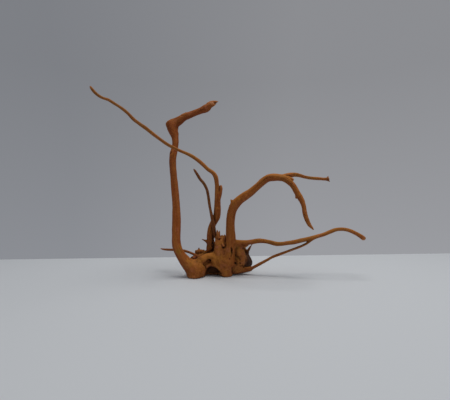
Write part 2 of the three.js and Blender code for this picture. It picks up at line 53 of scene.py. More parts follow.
LIMBS = {
    "left_stem": [(-51.3, -14.5, 7.7, 11.12), (-58.4, -17.5, 12.1, 11.79), (-66.3, -19.5, 18.4, 9.68), (-72.7, -20.5, 25.9, 7.76), (-78.3, -20.5, 34, 6.88), (-82.6, -19.5, 42.6, 6.75), (-84.5, -17.5, 51.1, 6.48), (-85, -15.5, 59.7, 6.22), (-85.2, -12.5, 74.3, 6.18), (-85.7, -9.5, 89, 6.07), (-86.6, -6.5, 103.9, 5.74), (-88, -4.5, 119.1, 5.46), (-89.8, -2.5, 134.3, 5.33), (-91.4, -0.5, 149.7, 5.36), (-93, 1.5, 165.2, 5.3), (-93.3, 2.5, 177.7, 5.62), (-91.9, 3.5, 186.3, 5.4), (-90.1, 4.5, 195, 4.95), (-89.6, 5.5, 202.9, 5.12), (-90.6, 6.5, 210.9, 5.67), (-93.7, 7.5, 220.4, 7.39), (-95.6, 8.5, 226.9, 8.11), (-96.1, 8.5, 230.3, 6.71)],
    "left_arm": [(-102.3, 8.5, 231.7, 2.03), (-99.3, 8.5, 232.2, 3.43), (-94, 9.5, 233.1, 5.63), (-87, 10.5, 235.8, 6.58), (-77.2, 12, 242.7, 5.34), (-67.9, 13.5, 247.2, 5.05), (-58.6, 14.5, 251.2, 4.66), (-49.2, 15.5, 255.2, 4.83), (-43.7, 16.5, 257.9, 5.71), (-40.4, 17, 260.1, 5.4), (-37.2, 17.5, 263.3, 4.21), (-33.8, 18.1, 265.4, 3.66)],
    "long_branch": [(-36.7, 7.5, 25.8, 7.47), (-36.2, 6.5, 35.3, 5.44), (-35.7, 5.5, 46.3, 5.04), (-35.6, 4.5, 57.3, 4.87), (-34.1, 3.5, 68.2, 4.78), (-30.3, 2.5, 77.6, 4.93), (-26, 1.5, 86.1, 5.38), (-24.4, 0.5, 94.6, 5.21), (-24.2, -0.5, 106.9, 4.97), (-24.4, -1.5, 119.1, 4.43), (-24.8, -2.5, 131.3, 3.81), (-25.5, -3.5, 140.4, 3.65), (-26.9, -4.5, 147.9, 3.64), (-30.9, -5.5, 154, 3.25), (-38.4, -7.5, 159.1, 2.86), (-45.5, -9.5, 165.8, 2.85), (-53.1, -11.5, 172.1, 2.61), (-61.4, -13.5, 177.7, 2.38), (-70.3, -15.5, 182.1, 2.29), (-78.9, -17.5, 185.6, 2.28), (-87.4, -20.5, 189.4, 2.34), (-95.6, -23.5, 193.5, 2.33), (-103.5, -27.5, 198.5, 2.3), (-111, -30.5, 203.7, 2.29), (-118.4, -33.5, 209.3, 2.34), (-125.4, -36.5, 214.8, 2.47), (-133, -39.5, 220.1, 2.31), (-140.2, -42.5, 225.6, 2.29), (-147, -45.5, 232.9, 2.14), (-154.8, -48.5, 239, 2.06), (-163, -51.5, 244, 2.11), (-170.3, -54.5, 248.3, 2.03), (-176.6, -56.5, 249.9, 2.01), (-182.6, -58.5, 253.1, 2.07), (-187.4, -60.5, 257.7, 2.13), (-190.5, -61.5, 262, 1.79), (-191.2, -62, 263.3, 1.19)],
    "long_branch_stub": [(-23.8, -0.5, 111.5, 3.37), (-21.3, -1, 118.3, 3.13), (-19.6, -1.5, 126, 2.67), (-19, -1.5, 131.3, 2.37), (-19, -1.5, 134.2, 1.76)],
    "thin_branch": [(-23.9, -7.5, 47.5, 2.71), (-25.5, -6, 52.5, 1.97), (-26.5, -5, 56, 1.97), (-27.8, -5, 61, 2.35), (-29.1, -6, 66.9, 2.8), (-30.1, -6.5, 73.7, 2.87), (-31.6, -6.5, 82, 2.57), (-33.7, -4.5, 92.5, 2.2), (-35.8, -1.5, 102, 2.14), (-37.4, 2.5, 111.3, 2.16), (-38.9, 5.5, 120.6, 2.25), (-41.3, 8.5, 130, 2.26), (-46, 10.5, 138.7, 2.19), (-52.4, 12.5, 146.5, 2.2), (-56.9, 14, 154, 2.13), (-60.4, 15, 159.2, 1.74), (-62, 15.5, 161.8, 1.03)],
    "arch": [(-7.5, -11.5, 20.4, 10.45), (-6.2, -12.5, 34, 8.94), (-5, -13.5, 46.1, 7.73), (-4.3, -14.5, 56.6, 6.97), (-4.5, -15.5, 68.6, 6.44), (-4.2, -17.5, 83.5, 6.34), (-2.5, -19.5, 95.4, 6.31), (1, -21.5, 104.7, 6.5), (7, -23.5, 112, 6.18), (15, -25.5, 118.2, 6), (23.8, -27.5, 123.9, 5.54), (31.8, -29.5, 130.8, 5.16), (40.3, -31.5, 138.3, 4.99), (48.2, -33.5, 144, 5.11), (57.9, -35.5, 145.2, 5.02), (67.4, -37.5, 144.1, 4.43), (75.4, -39.5, 140, 4.13), (82.3, -41.5, 132.8, 3.9), (86.9, -43.5, 123.8, 3.95), (92.1, -45.5, 114.2, 3.66), (95.2, -47.5, 104.6, 3.16), (96.2, -49.5, 95.2, 3.01), (98.8, -51.5, 85.5, 2.86), (101.9, -52.5, 78.9, 2.44), (105, -53.5, 75.2, 1.69), (106.6, -54, 73.3, 1.08)],
    "arch_thorn": [(-0.3, -21.5, 106.4, 3.29), (-2.8, -21.5, 111.2, 1.9), (-4.4, -22, 113.7, 0.73)],
    "arch_twig": [(64.1, -36.5, 144.6, 2.82), (71.6, -34, 147.2, 3.26), (77.8, -31.5, 148, 3.85), (82.8, -28.5, 148.8, 3.59), (88.5, -25.5, 149.5, 2.97), (96.9, -21.5, 148.5, 2.55), (104.8, -18.5, 146.8, 2.35), (114.8, -14.5, 145.5, 2.37), (126.4, -10.5, 145, 2.25), (137.3, -7, 144.5, 2.26), (142.5, -5.5, 144.5, 2.72)],
    "arch_twig_up": [(140.5, -6, 144.4, 1.81), (143, -5, 146.9, 1.36), (143.5, -4.5, 149.1, 0.68)],
    "arch_twig_down": [(140.5, -6, 144.4, 1.81), (144.4, -4.5, 142.4, 1.21), (146.5, -4, 140.8, 0.61)],
    "right_branch": [(-5.3, -11.5, 47.3, 5.23), (2.2, -11.5, 48.9, 4.63), (9.6, -11.5, 49.5, 3.88), (18.8, -11.5, 49.5, 3.66), (27.6, -11.5, 50.4, 3.58), (36.5, -12, 52, 3.43), (45.4, -12.5, 51.8, 3.28), (54.4, -13, 50.2, 3.27), (63.2, -13.5, 47.9, 3.34), (71.9, -14, 48, 3.19), (80.7, -14.5, 49.4, 3.12), (89.5, -15, 50.6, 3.11), (98.2, -15.5, 52.8, 3.11), (107.6, -16, 55, 2.96), (115.7, -16.5, 56.9, 3.03), (124.4, -17, 59.6, 2.8), (133.3, -17.5, 62.3, 2.73), (142.1, -18, 66.2, 2.8), (150.6, -18.5, 69.5, 2.72), (159, -19, 70.3, 2.72), (167.6, -19.5, 69, 2.71), (176.5, -20, 65.4, 2.78), (185.2, -20.5, 60.5, 3.07), (189.6, -20.8, 57.3, 3.22)],
    "lower_root": [(-3.7, -4.5, 8.4, 6.82), (3.9, -4.5, 6.4, 5), (11.5, -4.5, 5.9, 3.49), (17.5, -5, 6.8, 2.58), (23.6, -5.5, 8.1, 2.27), (31.2, -6.5, 11.8, 2.11), (40.4, -7.5, 17, 2.11), (49.6, -8.5, 22.3, 2.03), (58.3, -9.5, 27.5, 1.95), (67, -10.5, 31.1, 2.1), (75.8, -11.5, 34.5, 2.09), (84.4, -12.5, 38.1, 2.01), (93.1, -13.5, 41.5, 1.86), (101.8, -14.5, 45.2, 1.78), (108.8, -15.3, 48.9, 1.63), (113.6, -16, 52.7, 1.48), (116.9, -16.4, 56.3, 1.62)],
    "left_rootlet": [(-45.8, -9.5, 22.2, 4.5), (-50.9, -9.5, 26.2, 2.55), (-55.5, -7.5, 29.2, 2.11), (-62.2, -3.5, 31.4, 1.98), (-69.6, 1.5, 33.1, 2), (-75.7, 6.5, 33.8, 2.02), (-83.3, 11, 34.3, 1.96), (-91.8, 14.5, 34.2, 1.9), (-100, 16.5, 34, 1.82), (-106.7, 18, 34.1, 1.67), (-111.7, 19.5, 34.4, 1.44), (-115.8, 20.5, 35.2, 0.8)],
    "stem_thorn": [(-37.5, 4.5, 46.5, 3.4), (-40.8, 3.5, 49.1, 2.31), (-44.2, 2.5, 50.8, 1.46), (-48.6, 1.5, 52.8, 0.61)],
    "arm_splinter_a": [(-39, 17.5, 264.7, 3.5), (-35.1, 18.5, 267.6, 2.87), (-30.3, 19.2, 269.5, 2.07), (-26.8, 19.7, 270.2, 1.44), (-23.6, 20.1, 270.1, 0.64)],
    "arm_splinter_b": [(-38.1, 16, 261.7, 2.85), (-34.2, 16.5, 262.5, 2.38), (-30.5, 17.1, 264.1, 1.59), (-27.4, 17.5, 265.3, 0.64)],
    "arm_splinter_c": [(-36.7, 20, 265.5, 2.56), (-31.2, 20.9, 267.2, 1.84), (-25.9, 21.5, 268.8, 0.64)],
    "arch_bump_a": [(91.6, -45.5, 113.6, 2.76), (94.7, -45.5, 112.2, 1.93), (95.7, -45.5, 110.8, 1.1)],
    "arch_bump_b": [(87.4, -44.5, 119.1, 2.77), (86, -44.5, 116.3, 1.66)],
}

STRANDS = {
    "foot_left": [(-55.7, -15.5, 14.9, 9.99), (-55.5, -17, 10.5, 13.57), (-56.7, -20, 3.9, 11.72), (-57.6, -22.5, -5, 9.18)],
    "ridge": [(-52.7, -15.5, 17.4, 7.1), (-45.6, -15.5, 23.9, 6.36), (-38.7, -14.5, 28.6, 5.19), (-31, -14.5, 28.6, 5.93), (-24.6, -14.5, 23.3, 8.16), (-18.7, -13.5, 14.9, 9.29), (-13.5, -12.5, 5.7, 8.94), (-12, -12.5, -4.7, 8.2)],
    "lip": [(-44.6, -14.5, 11.4, 4.45), (-39.8, -14, 15.3, 3.27), (-34.5, -13.5, 16.8, 3.27), (-29.8, -13.5, 16.1, 4.01), (-24.6, -13.5, 11.9, 4.83)],
    "foot_mid": [(-11.3, -12.5, 20.6, 11.18), (-10.5, -12.5, 10.2, 9.69), (-10.2, -12.5, 1.2, 8.49), (-10.1, -12.5, -6.2, 7.75)],
    "bulge": [(7.3, -7.5, 43.7, 6.4), (8.4, -6.5, 34.5, 8.46), (8.6, -5.5, 25.2, 9.23), (7.6, -4.5, 16.7, 9.25), (3.9, -4.5, 10.5, 7.89)],
    "knob": [(-18.4, -10.5, 53.1, 5.61), (-19.3, -11.5, 46.5, 7.77), (-20.2, -11.5, 38.3, 9.33), (-18.7, -11.5, 26.4, 10.45)],
    "knob_spike": [(-20.5, -11.5, 47.3, 4.78), (-21.9, -11.5, 55.5, 3.14), (-22.6, -11.5, 61.8, 2.24)],
    "knob_r": [(-15, -11.5, 42.8, 4.48), (-13.9, -11.5, 51.8, 3.43), (-13.8, -11.5, 56.6, 2.69), (-13.1, -11.5, 60.7, 1.19)],
    "back_left": [(-60.9, -0.5, 22, 5.36), (-53.1, 5.5, 21.5, 7.75), (-42.3, 7.5, 22.7, 9.34), (-29.8, 5.5, 23.1, 10.08)],
    "lump1": [(-54.1, 8.5, 25.6, 4.68), (-53.6, 8.5, 32.2, 4.06), (-53.6, 8.5, 35.6, 1.87), (-53.5, 8.5, 37.7, 1.01)],
    "lump1b": [(-48.7, 9.5, 28.6, 3.91), (-49.3, 9.5, 33.3, 3.28)],
    "lump2": [(-43.6, 8.5, 25.6, 4.68), (-43.3, 8.5, 31.3, 3.59)],
    "lump3": [(-57, -7.5, 21.8, 4.52), (-58.6, -7.5, 25.9, 3.77)],
    "dark_burl": [(15.6, 13.5, 18.4, 9.46), (22.7, 19.5, 14.3, 7.82), (23.5, 21.5, 10.4, 6.73)],
    "burl_neck": [(21.7, 19.5, 14, 6.39), (22.7, 19.5, 23.6, 3.51), (22.9, 19.5, 30, 2.16)],
    "burl_twig1": [(22.9, 19.5, 28.4, 2.24), (19.9, 20.5, 34.3, 1.76), (15.6, 21.5, 39.4, 1.04)],
    "burl_twig2": [(22.9, 19.5, 28.4, 2.55), (26, 18.5, 36.2, 1.91), (31.5, 17.5, 43.8, 0.87)],
    "foot_lobe": [(-49.4, -14.5, 16.6, 7.42), (-46.5, -15, 12.2, 6.07), (-48.3, -15.5, 5.3, 5.48)],
    "pocket_back": [(-46.7, -7.5, 18.8, 9.04), (-36.9, -6.5, 20.1, 9.06), (-26.3, -6.5, 20.1, 9.81)],
    "web": [(-8.2, -5.5, 14.6, 9.84), (0.1, -4.5, 10.5, 7.58), (9, -4, 7.8, 4.86), (17.6, -4.5, 7.4, 3.34), (25.1, -5.5, 9.2, 2.57)],
    "spike_a": [(-23.2, -11.5, 59.2, 2.24), (-24.1, -11.5, 64, 1.42), (-24.5, -11.5, 68.1, 0.67)],
    "spike_b": [(-21.9, -11.5, 59.2, 2.24), (-21.3, -11.5, 63.4, 1.34), (-21, -11.5, 66.7, 0.67)],
    "knob_m": [(-18, -9.5, 47, 4.5), (-17.4, -9.5, 54.5, 3.3), (-17.1, -9.5, 58.7, 1.95)],
    # gap_fill: a strand behind the right side of the middle stem, dark all through as painted shade
    "gap_fill": [(-31.2, 9.5, 28.6, 7.03), (-30.4, 9.5, 38, 4.69), (-30.6, 9.5, 43.4, 3.75), (-31.5, 8.5, 48.3, 2.26), (-31.4, 7.5, 53.8, 2.18), (-30.8, 6.5, 59.3, 2.8), (-31.6, 4.5, 68.1, 2.32)],
    "lump1c": [(-56.9, 6.5, 30.4, 2.8), (-57.3, 6.5, 33.5, 1.86)],
    "lump2b": [(-46.4, 11.5, 30.4, 2.67), (-45.9, 11.5, 34.5, 1.73)],
    "twig_web": [(70.2, -37.5, 143.4, 3.24), (77.7, -37, 143.1, 3.1), (82.1, -38.5, 141.6, 1.82)],
    "crook": [(6.8, -7.5, 43.7, 5.27), (15, -9.5, 44.6, 3.45), (20.5, -10.5, 45.7, 2.1)],
    "knob_side": [(-24.7, -10.5, 58.5, 1.8), (-24.9, -10.5, 53.9, 2.54), (-24.1, -11.5, 46.5, 3.43)],
    "knob_bump": [(-14.8, -18.5, 45.7, 2.35), (-16, -18.9, 48.1, 1.91)],
    "core": [(-34.8, 1.5, 17, 13), (-12.8, 3.5, 22, 18), (5.2, 7.5, 20, 14)],
    "back_ridge": [(-10.8, 3.5, 38, 12), (-7.8, 17.5, 30, 13), (-5.8, 29.5, 17, 12), (-5.8, 34.5, 5, 10), (-5.8, 36.5, -5, 9)],
    "back_left_foot": [(-34.8, 9.5, 20, 10), (-41.8, 20.5, 12, 9.5), (-44.8, 26.5, 3, 8), (-45.8, 28.5, -5, 7)],
    "back_right": [(-1.8, -2.5, 44, 9), (2.2, 9.5, 40, 10.5), (7.2, 19.5, 27, 11), (11.2, 25.5, 12, 9.5)],
    "back_skirt": [(-48.8, -1.5, 8, 10), (-29.8, 0.5, 9, 13), (-7.8, -0.5, 8, 12)],
    "back_stub": [(-8.8, 25.5, 26, 8.5), (-12.8, 37.5, 31, 5.6), (-13.8, 45.5, 35, 4.8), (-16.3, 51.5, 38, 4.3), (-17, 53.5, 39.2, 3.4)],
    "back_rootlet": [(-32.8, 21.5, 18, 6.5), (-39.8, 29.5, 15, 4.2), (-47.8, 36.5, 13.5, 3.2), (-53.8, 44.5, 10.5, 2.7), (-61.8, 49.5, 8.6, 2.3), (-66.8, 56.5, 8.6, 1.8), (-69.8, 61.2, 10, 1.3)],
    "back_right_root": [(7.2, 25.5, 14, 7), (14.2, 33.5, 11, 4.6), (18.2, 40.5, 9, 3.4), (24.2, 46.5, 6.5, 2.9), (25.2, 53.5, 6.2, 2.4), (22.2, 59, 8, 1.9), (23.2, 62.2, 9.5, 1.3)],
}

CAVES = [
    [[-29.4, -40.5, -2, 12.4, 15.6], [-29.4, -20.5, -2, 12.2, 15.6], [-29.4, -18.0, 0, 11.6, 13.6], [-29.4, -15.5, 6, 9.5, 6.3], [-29.3, -8.5, 8, 5, 3.5]],
    [[-34.0, -40.5, -2, 9.4, 16.3], [-34.2, -20.5, -2, 9.2, 16.3], [-34.0, -18.0, 0, 8.6, 14.3], [-33.2, -15.5, 6, 7, 7.5], [-32.3, -8.5, 8, 5, 4]],
]

# how wide the fillet is where a limb joins the rest
FILLET = {
    "stem_thorn": 1.5, "arch_thorn": 2.0, "arch_twig_up": 0.8, "arch_twig_down": 0.8,
    "arch_twig": 2.5, "thin_branch": 2.0, "left_rootlet": 1.5, "lower_root": 3.0,
    "right_branch": 4.0, "long_branch_stub": 1.0, "burl_twig1": 1.0, "burl_twig2": 1.0,
    "arm_splinter_a": 0.9, "arm_splinter_b": 0.9, "arm_splinter_c": 0.9,
    "lip": 1.5, "ridge": 3.0, "knob_spike": 1.5, "spike_a": 0.5, "spike_b": 0.5,
    "knob_r": 1.0, "knob_m": 1.0, "lump1": 1.2, "lump1b": 0.8, "lump1c": 0.6,
    "lump2": 1.0, "lump2b": 0.6, "lump3": 1.2, "bulge": 3.5, "knob": 4.0,
    "foot_mid": 4.0, "dark_burl": 1.5, "arch": 3.5, "long_branch": 2.0,
    "left_stem": 4.0, "left_arm": 6.5, "knob_bump": 0.8,
    "arch_bump_a": 1.5, "arch_bump_b": 1.5, "gap_fill": 1.5, "web": 4.0, "crook": 1.6, "knob_side": 1.2, "twig_web": 1.2,
    "back_stub": 3.0, "back_rootlet": 3.0, "back_right_root": 3.0,
}
# darker wood, from 0 to 1; gap_fill and back_skirt sit in shade, and their darkness is painted shade
TONE = {"dark_burl": 0.93, "burl_neck": 0.93, "burl_twig1": 0.6, "burl_twig2": 0.6,
        "thin_branch": 0.56, "lower_root": 0.10, "long_branch": 0.06, "gap_fill": 1.0, "stem_thorn": 0.50, "back_skirt": 0.5,
        "lump1c": 0.4, "lump2b": 0.3, "spike_a": 0.28, "spike_b": 0.28,
        "arch_twig_up": 0.6, "arch_twig_down": 0.6, "left_rootlet": 0.25}
# yellower wood above 0, redder wood below 0; on the bulge the yellow is partly painted light, lifting a part that
# sits in shade
TINT = {"long_branch": 0.20, "thin_branch": -0.35, "left_stem": -0.35, "left_arm": -0.50, "left_rootlet": -0.9,
        "long_branch_stub": -0.6, "foot_left": 0.20, "ridge": 0.75, "knob": 0.15,
        "foot_lobe": -0.1, "lump3": -0.3, "lower_root": -0.55, "web": 0.3,
        "pocket_back": -0.8, "lip": 0.2, "right_branch": 0.15, "arch": 0.1,
        "arch_twig": 0.1, "back_ridge": 0.3, "knob_spike": -0.4,
        "bulge": 0.4, "spike_a": -0.4, "spike_b": -0.4}
SOLE_RIM = 3.0  # how far the rim of a foot is rounded
# limb, part of the way along it, degrees round it, radius, height
KNOTS = [
    ("left_stem", 0.62, 250.0, 4.5, 0.9),
    ("left_stem", 0.80, 60.0, 4.0, 0.8),
    ("left_stem", 0.95, 200.0, 5.0, 0.9),
    ("arch", 0.42, 120.0, 4.0, 0.8),
    ("arch", 0.55, 300.0, 3.5, 0.7),
    ("long_branch", 0.22, 90.0, 3.5, 0.7),
    ("left_arm", 0.4, 40.0, 3.5, 0.6),
    ("bulge", 0.4, 200.0, 4.5, 1.0),
    ("back_ridge", 0.4, 120.0, 5.5, 1.2),
]
# ends where bare wood shows, and how far back it goes
BARE = [("left_arm", 3.0), ("right_branch", 1.6), ("back_stub", 1.6)]

TAN = (0.435, 0.157, 0.031)
BROWN = (0.330, 0.090, 0.016)
RED = (0.285, 0.064, 0.013)
DEEP = (0.030, 0.009, 0.003)
PALE = (0.44, 0.215, 0.125)
SHADE = (0.115, 0.030, 0.006)
GOLD = (0.480, 0.182, 0.024)
RUST = (0.240, 0.040, 0.012)
OLIVE = (0.255, 0.145, 0.014)
PINK = (0.51, 0.155, 0.080)
LIGHT = (0.53, 0.198, 0.050)
DARKEST = (0.030, 0.012, 0.007)
FLOOR_COLOUR = (0.655, 0.682, 0.708)
LAMPS = [
    ("ceiling", (0.18, -0.04, 1.25), (0.0, 0.0, 0.05), (0.8, 0.6), 8.6, (1.0, 0.985, 0.96)),
]
# the table's far edge runs a little askew, from one side to the other
EDGE = ((-2.0, -0.0041), (2.0, 0.2875))
TABLE_THICK = 0.025
# the room behind, from left to right and from low to high
ROOM_LEFT = (0.258, 0.268, 0.293)
ROOM_RIGHT = (0.325, 0.331, 0.353)
ROOM_HIGH = 0.80
# creases, holes and hollows cut into the stump, and how far each rim is rounded
CUTS = [
    ([(-42.3, -20.1, 19.0, 2.64), (-40.1, -18.1, 20.8, 3.39), (-37.6, -16.3, 22.6, 3.25), (-35.5, -15.8, 24.3, 2.36)], 2.0),
    ([(-35.6, -18.2, 24.7, 1.77), (-35.3, -10.9, 23.6, 1.33)], 1.2),
    ([(-45.7, 2.3, 29.7, 1.08), (-41.2, 2.0, 31.6, 1.15), (-35.8, 1.0, 33.8, 1.53), (-31.6, 3.2, 35.4, 1.69)], 1.0),
    ([(-11.6, -14.2, 56.3, 0.67), (-11.4, -15.4, 53.5, 0.96), (-12.0, -16.5, 50.4, 0.66)], 0.6),
    ([(-16.6, -19.8, 44.7, 0.73), (-14.8, -18.0, 42.8, 1.32), (-12.5, -18.6, 46.0, 0.88)], 0.8),
    ([(-14.5, -20.0, 43.6, 1.17), (-14.5, -15.8, 43.2, 0.88)], 0.6),
    ([(-21.7, -4.5, 134.5, 0.68), (-21.9, -4.4, 129.7, 0.83), (-22.0, -5.0, 124.5, 0.68)], 0.6),
    ([(-21.0, -16.1, 55.4, 1.48), (-20.8, -14.3, 54.8, 1.04)], 1.0),
    ([(-25.3, -13.0, 55.9, 0.89), (-22.4, -15.2, 54.6, 0.74), (-18.1, -15.3, 56.1, 0.74)], 0.8),
    ([(-4.0, -21.0, 43.4, 0.73), (-2.9, -20.0, 40.5, 1.24), (-3.1, -19.8, 37.5, 1.1), (-2.4, -20.2, 34.2, 0.8), (-4.0, -21.2, 30.3, 0.73)], 1.0),
    ([(-2.8, -21.7, 40.2, 1.1), (-2.7, -16.8, 38.8, 0.88)], 0.8),
    ([(2.3, -16.0, 19.9, 1.26), (2.9, -11.6, 18.6, 0.89)], 1.2),
    ([(9.3, -14.6, 19.7, 0.82), (9.6, -12.0, 18.7, 0.59)], 0.9),
    ([(10.5, -12.9, 14.2, 0.89), (12.9, -11.7, 15.1, 1.19), (15.2, -7.9, 12.4, 1.2)], 1.0),
    ([(13.7, -11.6, 14.5, 1.05), (13.4, -8.3, 13.4, 0.75)], 0.9),
    ([(3.6, -14.7, 30.7, 1.19), (6.8, -14.9, 27.6, 1.48), (9.2, -15.0, 24.1, 1.04)], 1.6),
    ([(-6.1, -22.5, 27.3, 0.73), (-6.0, -20.8, 26.4, 0.58)], 0.8),
    ([(-2.2, -19.5, 14.0, 0.73), (-1.8, -16.5, 9.6, 1.03), (-1.6, -13.5, 2.2, 1.19)], 0.9),
    ([(-43.2, -20.5, 20.2, 0.95), (-41.8, -19.0, 16.1, 1.17), (-40.8, -19.3, 12.3, 0.95)], 1.2),
    ([(-32.8, 2.1, 41.4, 0.92), (-32.0, 2.1, 49.9, 0.92), (-32.0, 1.3, 57.7, 0.84)], 0.9),
    ([(-53.1, -17.8, 26.3, 1.03), (-51.3, -16.2, 27.4, 1.33), (-50.1, -10.9, 28.7, 1.05)], 0.8),
]
